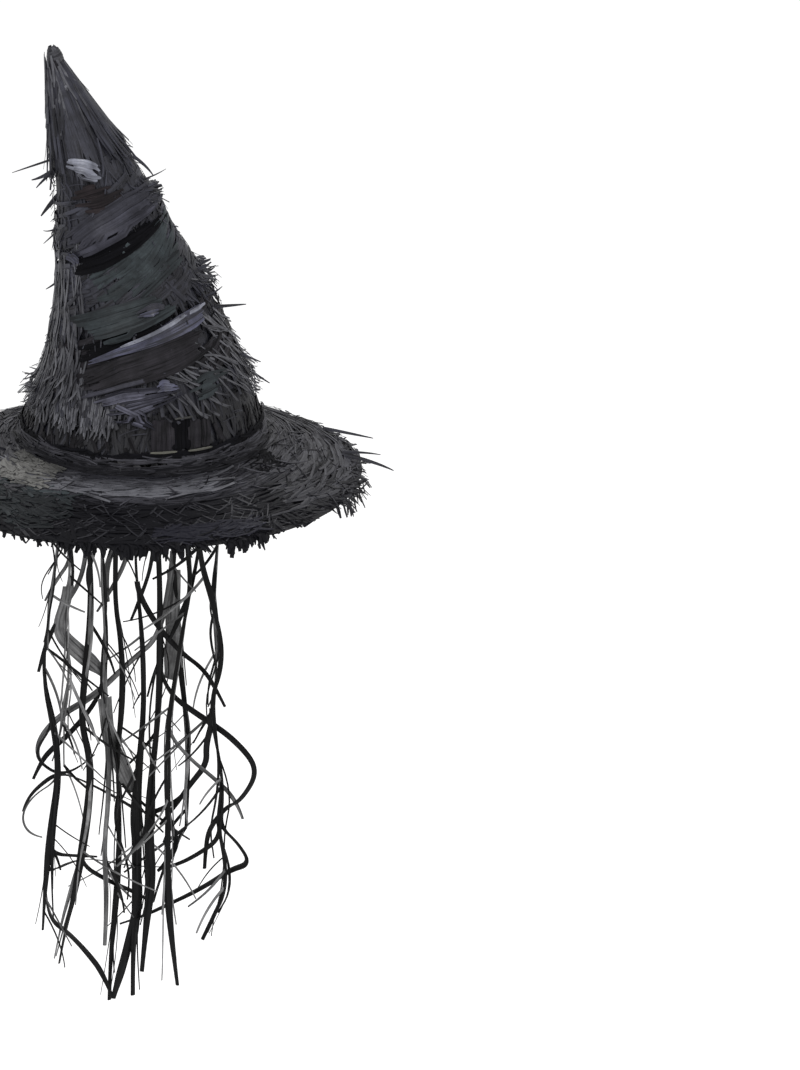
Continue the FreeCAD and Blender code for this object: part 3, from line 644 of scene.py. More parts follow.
def crownLeaf(name, values):
    # ribs side by side on the coat's front: rib i runs along the points, (i + 1/2) / n - 1/2 of the
    # width to one side, from its own start to its own end; the lower ribs stand off by the tilt
    draw = np.random.default_rng(values["seed"])
    count, stations = values["ribs"], values["stations"]
    column = (count, 1)
    route = np.array(values["route"]) / 1000
    spans = len(route) - 1
    offset = ((np.arange(count) + 0.5) / count - 0.5)[:, None]
    start = draw.uniform(0, values["fray"], column)
    end = 1 - draw.uniform(0, values["fray"], column)
    share = start + (end - start) * np.linspace(0, 1, stations)[None]
    wide = alongProfile(share, values["width"]) / 1000
    shear = values["skew"] * wide / np.linalg.norm(route[-1] - route[0])
    share = share * (1 - abs(shear)) + abs(shear) / 2 + offset * shear
    line = np.stack([np.interp(share * spans, np.arange(spans + 1), route[:, axis])
                     for axis in range(2)], -1)
    head = unit(np.gradient(line, axis=1) + 1e-9)
    beside = np.stack([-head[..., 1], head[..., 0]], -1)
    aside = offset * wide + draw.normal(0, values["unsteady"], column) / 1000
    line = line + beside * aside[..., None]
    turn, level = coatFront(line[..., 0], line[..., 1])
    tilt = math.tan(math.radians(values["tilt"]))
    wave = values["wave"] / 1000 * np.sin(share * values["waves"] + values["seed"])
    lift = (values["lift"] / 1000 + (0.5 - offset) * wide * tilt
            + draw.uniform(0, values["uneven"], column) / 1000 + wave)
    fromMiddle = np.abs(np.linspace(-0.5, 0.5, stations))
    tip = 1 - values["tipLoss"] * ramp(fromMiddle, values["tipFrom"], 0.5)[None]
    tone = values["tone"] - values["spread"], values["tone"] + values["spread"]
    glossy = values["finish"] in ("paleGloss", "lilacGloss", "violetSheen")
    return stripMesh(name, *laidOn(coatSurface, turn, level, lift),
                     wide / count * values["overlap"] * tip, values["finish"], tone,
                     values["seed"], thick=values["thick"], bow=values["bow"],
                     slot="glossy_strip" if glossy else "dark_strip")


# wide leaves on the front of the crown, among them near-black sheets of painted shadow (the Shade
# ones) and pale pieces of painted highlight and sheen: route (across, height), widths along it, lift
# and wave in millimetres, tilt in degrees
leafLook = dict(ribs=8, fray=0.15, skew=0, tilt=5, wave=0.6, waves=9, overlap=1.7, spread=0.28,
    stations=13, unsteady=0.4, uneven=0.7, tipFrom=0.4, tipLoss=0.5, thick=0.0004, bow=0.06)
crownLeaves = {
    "tipLeaf": dict(route=[(-73, 328), (-70, 280)], width=(8, 12), lift=1.2, ribs=9, fray=0.6,
        finish="blackRaffia", tone=0.3, spread=0.4, seed=40),
    # a painted highlight: the pale glossy spot at the top tier's hem
    "paintedGlossSpot": dict(route=[(-68, 261), (-50, 259), (-31, 252)], width=(9, 13, 14, 11), lift=3.6,
        ribs=7, fray=0.3, skew=-0.5, overlap=1.8, finish="paleGloss", tone=0.45, spread=0.45,
        seed=41),
    "brownLeaf": dict(route=[(-62, 226), (-40, 232), (-14, 240)], width=(20, 26, 20), lift=1.8,
        ribs=12, fray=0.4, skew=-0.3, finish="rustRaffia", tone=0.4, seed=42),
    "flapLeaf": dict(route=[(-60, 185), (-36, 207), (-12, 221), (17, 230)], width=(20, 26, 26, 16),
        lift=3.6, tilt=9, fray=0.12, finish="slateLeaf", tone=0.45, seed=43),
    "flapEdge": dict(route=[(-62, 177), (-36, 196), (-12, 209), (18, 222)], width=(3, 4, 4, 2),
        lift=7.8, ribs=2, fray=0.2, finish="slateLeaf", tone=0.8, seed=50),
    "flapShade": dict(route=[(-60, 171), (-36, 181), (-12, 194), (22, 213)], width=(19, 19, 16, 6),
        lift=3.4, tilt=0, ribs=7, fray=0.16, finish="gapBlack", tone=0.1, seed=44),
    "flapEnd": dict(route=[(-60, 184), (-48, 176)], width=(8, 6), lift=8.5, ribs=3, fray=0.3,
        finish="lilacGloss", tone=0.5, seed=45),
    "frontPatch": dict(route=[(-57, 113), (-15, 131), (29, 146)], width=(25, 27, 21), lift=4.4,
        fray=0.06, skew=-0.85, finish="greenGreyLeaf", tone=0.45, seed=31, node="front_patch"),
    "patchGlint": dict(route=[(-6, 133), (8, 137), (20, 138)], width=(4, 11, 7), lift=7.4, fray=0.45,
        finish="lilacGloss", tone=-0.1, seed=39),
    "patchShade": dict(route=[(-55, 93), (-12, 115), (14, 125), (28, 143)], width=(16, 15, 11, 4),
        lift=3, tilt=0, ribs=6, fray=0.12, finish="gapBlack", tone=0.1, seed=46),
    # the ribbon's lilac is painted sheen on glossy black raffia
    "wrapRibbon": dict(route=[(-46, 90), (-20, 104), (8, 115), (34, 126), (54, 132)],
        width=(3, 6, 11, 17, 15), lift=4.4, tilt=3, ribs=5, fray=0.08, overlap=1.6,
        finish="lilacGloss", tone=0.3, seed=32, node="wrap_ribbon"),
    "ribbonEdge": dict(route=[(-20, 108), (8, 121), (34, 133), (52, 138)], width=(1.5, 2, 3, 2),
        lift=5.2, ribs=1, fray=0.1, finish="paleGloss", tone=0.7, seed=30),
    "broadLeaf": dict(route=[(-50, 68), (-16, 86), (24, 99), (56, 108)], width=(16, 24, 28, 20),
        lift=2.8, tilt=7, ribs=9, finish="brownBlackRaffia", tone=0.4, seed=47),
    "broadEdge": dict(route=[(-50, 61), (-16, 75), (22, 86)], width=(3, 3, 2), lift=6.8, ribs=2,
        finish="slateLeaf", tone=0.8, seed=29),
    "sheenStrip": dict(route=[(-40, 52), (-14, 60), (10, 65), (36, 70)], width=(18, 26, 18, 8),
        lift=3.2, ribs=14, fray=0.45, overlap=1.5, wave=1.2, finish="violetSheen", tone=0.1,
        spread=0.45, seed=33, node="sheen_strip"),
    "sheenSpot": dict(route=[(8, 70), (18, 75), (32, 73)], width=(3, 10, 5), lift=5.2, ribs=9,
        fray=0.5, finish="lilacGloss", tone=0.7, seed=48),
    "sheenDrip": dict(route=[(-22, 58), (-2, 50), (12, 40)], width=(12, 10, 4), lift=5.2, fray=0.45,
        finish="violetSheen", tone=0, spread=0.4, seed=28),
    "greenSpot": dict(route=[(40, 66), (56, 70), (72, 72)], width=(16, 20, 10), lift=3.6, ribs=10,
        fray=0.45, overlap=1.5, finish="greenGreyLeaf", tone=0.4, seed=49),
    "frontTabLeft": dict(route=[(17.5, 50), (17.5, 20)], width=(17, 19), lift=3.4, tilt=0, ribs=5,
        fray=0.04, finish="brownBlackRaffia", tone=0.55, seed=34, node="front_tab_left"),
    "frontTabRight": dict(route=[(48, 47), (48.5, 20)], width=(17, 18), lift=3.4, tilt=0, ribs=5,
        fray=0.04, finish="brownBlackRaffia", tone=0.4, seed=35, node="front_tab_right"),
    # painted highlights along the tabs' lower edges
    "tabEdgeLeft": dict(route=[(7, 20.6), (18, 20.4), (29, 20.6)], width=(1, 1.3, 1), lift=5.6,
        tilt=0, ribs=1, fray=0.02, finish="strawEdge", tone=0.4, seed=36),
    "tabEdgeRight": dict(route=[(38, 20.4), (48, 20.2), (58, 20.4)], width=(0.9, 1.2, 0.9), lift=5.6,
        tilt=0, ribs=1, fray=0.02, finish="strawEdge", tone=0.2, seed=37),
    # a faint painted highlight along the tabs' top edge
    "tabTop": dict(route=[(26, 50), (34, 50.2), (42, 50)], width=(0.8, 1.2, 0.8), lift=6, tilt=0,
        ribs=1, fray=0.08, finish="wornRaffia", tone=-0.1, seed=27),
    "tabShade": dict(route=[(32.5, 50), (33, 20)], width=(13, 14), lift=2.8, tilt=0, ribs=4,
        fray=0.08, finish="gapBlack", tone=0.1, seed=38),
}
for leafName, values in crownLeaves.items():
    leaf = crownLeaf(leafName, {**leafLook, **values})
    if "node" in values:
        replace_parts(leaf, values["node"])
print("leaves and ribbons laid")


woundLook = dict(stationsPerTurn=18, columns=5, offAxis=(0.3, 1, 0.2), thick=0.0006, bow=0.12)


def windStrip(name, start, end, values, **placing):
    # a flat strip wound round the line from start to end: angle = 2 pi turns share, and the
    # radius goes through the given values
    start, end = np.array(start), np.array(end)
    axis = unit(end - start)
    first = unit(np.cross(axis, np.array(woundLook["offAxis"])))
    second = np.cross(axis, first)
    share = np.linspace(0, 1, int(values["turns"] * woundLook["stationsPerTurn"]) + 1)[:, None]
    angle = 2 * math.pi * values["turns"] * share + values["phase"]
    radial = first * np.cos(angle) + second * np.sin(angle)
    middle = start + (end - start) * share + radial * alongProfile(share, values["radius"])
    return stripMesh(name, *facing(middle[None], radial[None]),
                     np.full((1, len(share)), values["width"]), values["finish"], values["tone"],
                     values["seed"], thick=woundLook["thick"], bow=woundLook["bow"],
                     columns=woundLook["columns"], **placing)


pointWrap = dict(turns=4.2, phase=0, radius=(0.0068, 0.0062, 0.0055, 0.0046), width=0.0028,
    start=(-0.0752, 0, 0.3485), end=(-0.0774, 0, 0.3560), finish="ashRaffia", tone=(0.1, 0.2),
    seed=91)
pointEnds = dict(count=34, stations=7, base=(-0.0748, 0, 0.3455), lean=18, reach=(0.010, 0.0145),
    inner=0.0072, outer=(0.001, 0.0036), width=(0.002, 0.0036), finish="ashRaffia",
    tone=(-0.2, 0.7), seed=92)


def pointTuft():
    # blunt ends standing out of the wrap: from the inner radius to a smaller one, upwards
    values = pointEnds
    draw = np.random.default_rng(values["seed"])
    column = (values["count"], 1, 1)
    lean = math.radians(values["lean"])
    axis = np.array([-math.sin(lean), 0, math.cos(lean)])
    turn = draw.uniform(0, 2 * math.pi, column)
    radial = (np.array([math.cos(lean), 0, math.sin(lean)]) * np.cos(turn)
              + np.array([0, 1, 0]) * np.sin(turn))
    share = np.linspace(0, 1, values["stations"])[None, :, None]
    outer = draw.uniform(*values["outer"], column)
    reach = draw.uniform(*values["reach"], column)
    radius = values["inner"] + (outer - values["inner"]) * share ** 2
    middle = np.array(values["base"]) + axis * reach * share + radial * radius
    width = draw.uniform(*values["width"], column[:2]) * np.ones(share.shape[:2])
    stripMesh("pointEnds", *facing(middle, radial), width, values["finish"], values["tone"],
              values["seed"])


wrap = windStrip("pointWrap", pointWrap["start"], pointWrap["end"], pointWrap)
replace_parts(wrap, "point_cap")
pointTuft()

strayLines = [  # start, middle, end and width in millimetres; loose ends past the outline
    ((-70, -12, 262), (-92, -16, 256), (-113, -18, 249), 2.2),
    ((-72, -14, 254), (-84, -18, 245), (-96, -20, 243), 4),
    ((-74, -8, 250), (-86, -10, 240), (-92, -12, 233), 3),
    ((-70, 4, 224), (-80, 2, 214), (-88, 0, 203), 4.8),
    ((-68, -6, 198), (-79, -8, 190), (-86, -10, 193), 1.8),
    ((-70, 8, 190), (-80, 6, 181), (-86, 4, 176), 1.8),
    ((-66, 2, 148), (-76, 0, 140), (-84, -2, 136), 2.6),
    ((-2, -6, 238), (10, -8, 242), (21, -10, 250), 1.6),
    ((-8, -10, 262), (4, -12, 254), (10, -14, 245), 3),
    ((60, -20, 126), (76, -22, 128), (91, -24, 130), 3.2),
    ((52, -30, 138), (64, -32, 143), (70, -34, 150), 2.2),
    ((72, -10, 85), (90, -12, 78), (104, -14, 73), 3),
    ((78, 10, 68), (96, 8, 56), (112, 6, 46), 3.2),
    ((160, 72, -20), (184, 64, -22), (204, 57, -24), 3),
    ((176, 24, -25), (196, 22, -24), (210, 20, -26), 2.4),
    ((176, 16, -24), (204, 4, -26), (221, -4, -32), 3.6),
    ((-118, -30, -4), (-126, -34, 2), (-138, -36, 3), 2.4),
]


strayLook = dict(stations=9, taper=0.75, towards=(0.15, -0.9, 0.4), finish="blackRaffia",
    tone=(0.1, 0.6), seed=93)


def strayEnds():
    # each stray is the quadratic (1 - s)^2 A + 2 s (1 - s) B + s^2 C, facing the front
    values = strayLook
    points = np.array([line[:3] for line in strayLines])[:, :, None] / 1000
    start, bend, end = points.transpose(1, 0, 2, 3)
    width = np.array([line[3] for line in strayLines])[:, None] / 1000
    share = np.linspace(0, 1, values["stations"])[None, :, None]
    middle = (1 - share) ** 2 * start + 2 * share * (1 - share) * bend + share ** 2 * end
    stripMesh("strayEnds", *facing(middle, np.array(values["towards"])),
              width * (1 - values["taper"] * share[..., 0] ** 2), values["finish"], values["tone"],
              values["seed"])


strayEnds()
print("point bound, stray ends set")


matLook = dict(rows=34, columns=240, lift=0.0008, rib=0.0004, around=0.15, tone=(0, 0.6))
mats = {   # surface, inner and outer radius, seed, and the node that the mat stands for
    "upperMat": (brimTop, 0.106, 0.191, 52, "brim_upper_mat"),
    "underMat": (brimUnder, 0.112, 0.184, 53, "brim_under_mat"),
}


def matSkin(name, surface, inner, outer, seed):
    # one closed sheet of raffia: ribs run round the brim
    draw = np.random.default_rng(seed)
    turn = np.linspace(0, 2 * math.pi, matLook["columns"], endpoint=False)
    turns, radii = np.meshgrid(turn, np.linspace(outer, inner, matLook["rows"]))
    column = (matLook["rows"], 1)
    rib = draw.uniform(-matLook["rib"], matLook["rib"], column)
    lifts = matLook["lift"] + rib * np.ones_like(turns)
    points = laidOn(surface, turns.T, radii.T, lifts.T, -1)[0].transpose(1, 0, 2)
    # the sheet's tone carries the brim's painted light and shade
    tone = shadedTone(draw.uniform(*matLook["tone"], column), paintedBrimLight(turns, radii))
    uv = np.stack([radii, turns * matLook["around"]], -1)
    return skinMesh(name, points, uv, tone, "brimRaffia")


for matName, (*matValues, node) in mats.items():
    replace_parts(matSkin(matName, *matValues), node)

# loose layers on the brim, with places and limit in metres from the middle of the hat
brimLayer = dict(surface=brimTop, turns=(-180, 180), both=True, curl=(0, 1), limit=0.196, scale=1,
    bend=0.4, finish="brimRaffia")
brimLayers = {
    "brimRounds": dict(count=900, places=(0.107, 0.192), heading=(0, 9), length=(40, 120),
        width=(1.2, 4), lift=(1.5, 3), tone=(-0.1, 0.8), seed=61),
    "brimHatch": dict(count=150, turns=(-130, -45), places=(0.146, 0.19), heading=(20, 60),
        length=(8, 24), width=(0.6, 1.6), lift=(2.6, 3.6), bend=0, finish="ashRaffia",
        tone=(-0.9, 0.6), seed=62),
    "brimFrays": dict(count=240, places=(0.112, 0.19), heading=(0, 60), length=(10, 30),
        width=(0.6, 1.8), lift=(2.8, 4.2), curl=(-1, 3), limit=0.198, bend=1, tone=(0, 1), seed=65),
    "frontLight": dict(count=170, turns=(-156, -62), places=(0.109, 0.134), heading=(0, 9),
        length=(20, 70), width=(1, 3.2), lift=(3, 3.8), bend=0.5, finish="ashRaffia",
        tone=(-0.4, 0.75), seed=80),
    "leftPaleEdge": dict(count=80, turns=(-162, -122), places=(0.108, 0.151), heading=(0, 16),
        length=(10, 34), width=(1.2, 3.6), lift=(3.2, 4), bend=0.6, finish="ashRaffia",
        tone=(-0.8, 0.5), seed=86),
    "leftPale": dict(count=140, turns=(-154, -131), places=(0.111, 0.142), heading=(0, 16),
        length=(10, 30), width=(1.2, 3.6), lift=(3.6, 4.6), bend=0.6, finish="wornRaffia",
        tone=(0.1, 0.8), seed=81),
    "leftGreen": dict(count=210, turns=(-152, -116), places=(0.14, 0.186), heading=(0, 24),
        length=(12, 36), width=(1.2, 3.8), lift=(2.8, 3.8), bend=0.6, finish="greenGreyLeaf",
        tone=(1.2, 3), seed=82),
    "frontViolet": dict(count=110, turns=(-84, -56), places=(0.172, 0.191), heading=(0, 24),
        length=(10, 26), width=(1, 3), lift=(3.2, 4.4), finish="violetSheen", tone=(0, 1.1), seed=83),
    "lobeLight": dict(count=90, turns=(-46, 14), places=(0.132, 0.182), heading=(0, 12),
        length=(20, 60), width=(1.2, 4), lift=(2.4, 3.4), finish="slateLeaf", tone=(0, 1), seed=84),
    "backLight": dict(count=90, turns=(30, 150), places=(0.118, 0.182), heading=(0, 12),
        length=(20, 60), width=(1.2, 4), lift=(2.4, 3.4), finish="slateLeaf", tone=(0, 0.8), seed=85),
    "rimEnds": dict(count=620, turns=(-22, 288), places=(0.183, 0.193), heading=(18, 96), both=False,
        length=(12, 28), width=(1, 3.6), lift=(1.2, 3.4), curl=(-5, 1), limit=0.2045, bend=0.5,
        tone=(-0.2, 0.7), seed=63),
    "rimEndsRight": dict(count=150, turns=(-76, -18), places=(0.182, 0.19), heading=(14, 80),
        both=False, length=(10, 22), width=(1, 3.6), lift=(1.2, 3.4), curl=(-3, 1), limit=0.1965,
        bend=0.5, tone=(-0.2, 0.7), seed=60),
    "rimClumps": dict(count=90, turns=(-112, -79), places=(0.186, 0.194), heading=(40, 140),
        both=False, length=(10, 22), width=(1.4, 5), lift=(0.4, 2.4), curl=(-12, -2), limit=0.202,
        bend=0.6, tone=(0, 0.9), seed=66),
    "rimClumpRight": dict(count=50, turns=(-67, -54), places=(0.186, 0.193), heading=(40, 140),
        both=False, length=(10, 22), width=(1.4, 5), lift=(0.4, 2.4), curl=(-12, -3), limit=0.201,
        bend=0.6, tone=(0, 0.9), seed=67),
    "rimTuftRight": dict(count=30, turns=(-28, -6), places=(0.188, 0.196), heading=(30, 120),
        both=False, length=(14, 30), width=(1.4, 4.6), lift=(0.4, 2.4), curl=(-14, -2), limit=0.2065,
        bend=0, tone=(0, 0.9), seed=68),
    # loose strips in the painted-shadow black, a dark spot of painted shade on the brim beside the
    # crown
    "brimShadeFluff": dict(count=55, turns=(-36, -20), places=(0.112, 0.134), heading=(-50, 50),
        both=False, length=(6, 18), width=(1, 2.8), lift=(2.2, 3.4), limit=10, bend=1,
        finish="gapBlack", tone=(0, 0.5), seed=69),
    "underRounds": dict(count=320, places=(0.112, 0.184), heading=(0, 10), length=(50, 120),
        width=(3, 6.5), lift=(1.6, 2.8), curl=(0, 1.2), limit=0.19, finish="blackRaffia",
        tone=(0, 0.8), seed=64, surface=brimUnder),
}
for layerName, values in brimLayers.items():
    layer = scatter(layerName, {**brimLayer, **values})
    if layerName == "rimEnds":
        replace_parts(layer, "rim_fringe")
print("brim laid")


# hair: twelve tails and the wisps between them; routes, widths and heights in millimetres
hair = dict(ring=0.1005, drop=0.0088, firstLock=-52, lockStep=18, offset=0.0029, start=0.0134765,
    straight=0.036)
tailRoutes = [  # beside, outwards and height from each lock's middle, two tails to a lock
    [(-6, 2, -100), (4, -3, -150), (-5, 3, -203), (-10, 3, -252), (-1, -2, -300), (9, 0, -347),
     (-1, 1, -394), (-7, 3, -440), (-9, 5, -492)],
    [(8, -3, -98), (11, 4, -144), (7, 10, -188), (12, 15, -232)],
    [(-8, 2, -102), (-4, 6, -152), (-9, 9, -205), (-6, 5, -255), (-11, 9, -303), (-8, 12, -346)],
    [(7, -2, -100), (11, -3, -158), (12, -1, -212), (7, 1, -262), (2, 0, -303), (11, -3, -342),
     (11, 1, -385), (4, 1, -427), (-2, 4, -468), (-9, 9, -503), (-13, 13, -536)],
    [(-6, 1, -108), (-9, 0, -165), (-5, -2, -222), (-6, 1, -278), (-3, -2, -325), (-3, -4, -378),
     (-7, -1, -427), (-4.5, -3, -478), (-6, 0, -522)],
    [(6, 3, -103), (5, 2, -152), (5, 4, -196), (11, 3, -238), (11, 1, -290), (7, 5, -345),
     (10, 7, -400), (8, 4, -452), (5, 8, -505), (1.5, 9, -545), (1.5, 11, -580)],
    [(-7, 2, -98), (-10, 1, -150), (-6, 3, -200), (-3, 1, -246), (-1.5, -1, -293), (-6, 2, -345),
     (-9, 1, -395), (-8, 4, -445), (-9.5, 3, -495), (-12, 5, -540), (-12, 8, -576)],
    [(8, -1, -105), (12, 0, -160), (12.5, 2, -215), (12.5, 0, -270), (9.5, -2, -322), (4, -1, -370),
     (2.5, -3, -416), (5, -1, -460), (0, -3, -508), (-3.5, -4, -548)],
    [(-8, 4, -103), (-10, 8, -155), (-9, 12, -206), (-6, 14, -255), (1, 13, -308), (4, 10, -360),
     (1, 12, -412)],
    [(6, -2, -97), (6.5, 0, -140), (9, 2, -178), (2, -1, -220), (-3, -4, -258), (-9, -5, -300),
     (-11, -5, -347), (-10, -4, -397), (-11, -5, -445), (-10, -3, -487), (-6, -4, -522),
     (-2, -2, -560)],
    [(-8, -2, -100), (-12, -4, -146), (-1, 1, -186), (9, 3, -222), (8, 4, -250), (0, 0, -278),
     (1, 1, -308), (9, 3, -343), (9.5, 5, -376), (6, 3, -404), (11, 7, -436), (9, 8, -466),
     (-1, 4, -490), (-9, -1, -512)],
    [(4, 6, -100), (-3, 11, -150), (-8, 13, -200), (-5, 15, -250), (-10, 16, -298)],
]
tailWidths = [(1.8, 1.6, 1.8, 2.4, 6, 7, 6.5, 5), (2.2, 2.6, 2), (2.4, 2, 2.6, 2),
    (4, 5, 5.5, 5.5, 6, 7.5, 7.5, 7, 5), (2, 2.2, 2.4, 4.6, 5, 5, 5, 4.5),
    (4, 4.6, 5, 4.6, 4.6, 5, 6, 6.5), (2.4, 2.4, 2.8, 4, 6, 8, 8, 6),
    (4.2, 5, 5.6, 6, 6, 8.5, 8.5, 6.5), (3.6, 5, 7, 5, 3.6), (5, 5.4, 4.4, 3, 4.2, 6.5, 7, 6),
    (4.2, 4.6, 4.2, 5.6, 5, 5.6, 5, 4.4), (2.6, 3, 2.4, 2)]
greyTails = (1, 2, 4, 11)
tailStrand = dict(thick=0.0008, twist=0.45, taper=0.3, tone=0.1)
tailSeed = 200
tailLines = []  # the smooth line of each tail, which its fibres follow


smoothing = dict(order=3, resolution=8)


def smoothLine(points):
    # points of the NURBS curve that has the given points as its controls
    curve = bpy.data.curves.new("route", "CURVE")
    curve.dimensions = "3D"
    curve.resolution_u = smoothing["resolution"]
    spline = curve.splines.new("NURBS")
    spline.points.add(len(points) - 1)
    spline.points.foreach_set("co", np.append(points, np.ones((len(points), 1)), axis=1).ravel())
    spline.order_u = smoothing["order"]
    spline.use_endpoint_u = True
    holder = bpy.data.objects.new("route", curve)
    bpy.context.scene.collection.objects.link(holder)
    line = bpy.data.meshes.new_from_object(holder)
    found = np.empty(len(line.vertices) * 3)
    line.vertices.foreach_get("co", found)
    bpy.data.objects.remove(holder)
    bpy.data.curves.remove(curve)
    bpy.data.meshes.remove(line)
    return found.reshape(-1, 3)


def alongLine(line):
    # length of the line up to each of its points
    return np.append(0, np.cumsum(np.linalg.norm(np.diff(line, axis=0), axis=1)))


# waves along a strand, in radians a metre: the two of its twist, its width's and its bow's
strandWaves = dict(phase=(0, 6.28), twist=11, flutter=27, flutterShare=0.5, width=34,
    widthChange=0.14, bow=19, bowMiddle=0.14, bowChange=0.08, cutFrom=0.8, columns=5)


def hairStrand(name, points, body, beside, values):
    # a flat strip along the line: sideways is beside, less its part along the line, turned by
    # a slow twist; the width breathes a little, and the free end is cut or pointed
    line = smoothLine(points)
    waves = strandWaves
    draw = np.random.default_rng(values["seed"])
    along = alongLine(line)
    share = along / along[-1]
    travel = unit(np.gradient(line, axis=0))
    sideways = unit(beside - travel * (travel @ beside)[:, None])
    outward = np.cross(travel, sideways)
    phase = draw.uniform(*waves["phase"], 3)
    flutter = waves["flutterShare"] * np.sin(along * waves["flutter"] + phase[1])
    twist = values["twist"] * (np.sin(along * waves["twist"] + phase[0]) + flutter)
    cos, sin = np.cos(twist)[:, None], np.sin(twist)[:, None]
    sideways, outward = sideways * cos + outward * sin, outward * cos - sideways * sin
    profile = np.atleast_1d(values["width"]) / 1000
    breath = waves["widthChange"] * np.sin(along * waves["width"] + phase[2])
    width = alongProfile(share, profile) * (1 + breath)
    width = width * (1 - values["taper"] * ramp(share, waves["cutFrom"], 1))
    bow = waves["bowMiddle"] + waves["bowChange"] * np.sin(along * waves["bow"] + phase[1])
    piece = stripMesh(name, line[None], sideways[None], outward[None], width[None],
                      values["finish"], (values["tone"], values["tone"] + 0.01), values["seed"],
                      thick=values["thick"], bow=bow[None], columns=waves["columns"], body=body,
                      slot="hair_raffia")
    return piece


def lockFrame(lock):
    # beside, outwards and middle of a lock on the cord
    turn = math.radians(hair["firstLock"] + lock * hair["lockStep"])
    beside = np.array([math.cos(turn), -math.sin(turn), 0])
    outwards = np.array([math.sin(turn), math.cos(turn), 0])
    return beside, outwards, outwards * hair["ring"]


def lockPoint(lock, across, out, height):
    # middle + across beside + out outwards, at a height
    beside, outwards, middle = lockFrame(lock)
    return middle + beside * across + outwards * out + np.array([0, 0, height])


for index, route in enumerate(tailRoutes):
    lock, second = divmod(index, 2)
    offset = hair["offset"] * (1 if second else -1)
    local = [(offset, 0, -hair["start"]), (offset, 0, -hair["start"] - hair["straight"])]
    local += [(across / 1000, out / 1000, height / 1000) for across, out, height in route]
    points = np.array([lockPoint(lock, *place) for place in local])
    tailLines.append(smoothLine(points))
    side = "right" if second else "left"
    tail = hairStrand("tail_%d_%s" % (lock + 1, side), points, "lock_%d" % (lock + 1),
                      lockFrame(lock)[0], dict(
                          tailStrand, width=tailWidths[index], seed=tailSeed + index,
                          finish="greyWisp" if index in greyTails else "hairRaffia"))
    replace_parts(tail, "lock_%d_%s_tail" % (lock + 1, side))
print("tails hung")

knotLook = dict(half=0.0052, lean=0.0012, radius=(0.0034, 0.0046, 0.0046, 0.0034), layer=0.0005,
    width=0.0040, turns=3.6, finish="hairRaffia", tone=(0.4, 0.5), seed=300)
for lock in range(6):
    beside, _, middle = lockFrame(lock)
    middle = middle - np.array([0, 0, hair["drop"]])
    wraps = []
    for layer, tilt in enumerate((-1, 1)):       # two layers, wound against each other
        reach = beside * knotLook["half"] * tilt + np.array([0, 0, knotLook["lean"] * tilt])
        look = dict(knotLook, seed=knotLook["seed"] + 2 * lock + layer, phase=lock + layer,
                    radius=[value + knotLook["layer"] * layer for value in knotLook["radius"]])
        wraps.append(windStrip("knot_%d_%d" % (lock + 1, layer + 1), middle - reach,
                               middle + reach, look, body="lock_%d" % (lock + 1),
                               slot="hair_raffia"))
    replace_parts(wraps[0], "lock_%d_knot" % (lock + 1))
print("knots tied")


def onTail(index, height):
    # the point of a tail's route at a height
    route = np.array(tailRoutes[index])[::-1] / 1000
    across, out = [np.interp(height, route[:, 2], route[:, axis]) for axis in (0, 1)]
    return lockPoint(index // 2, across, out, height)


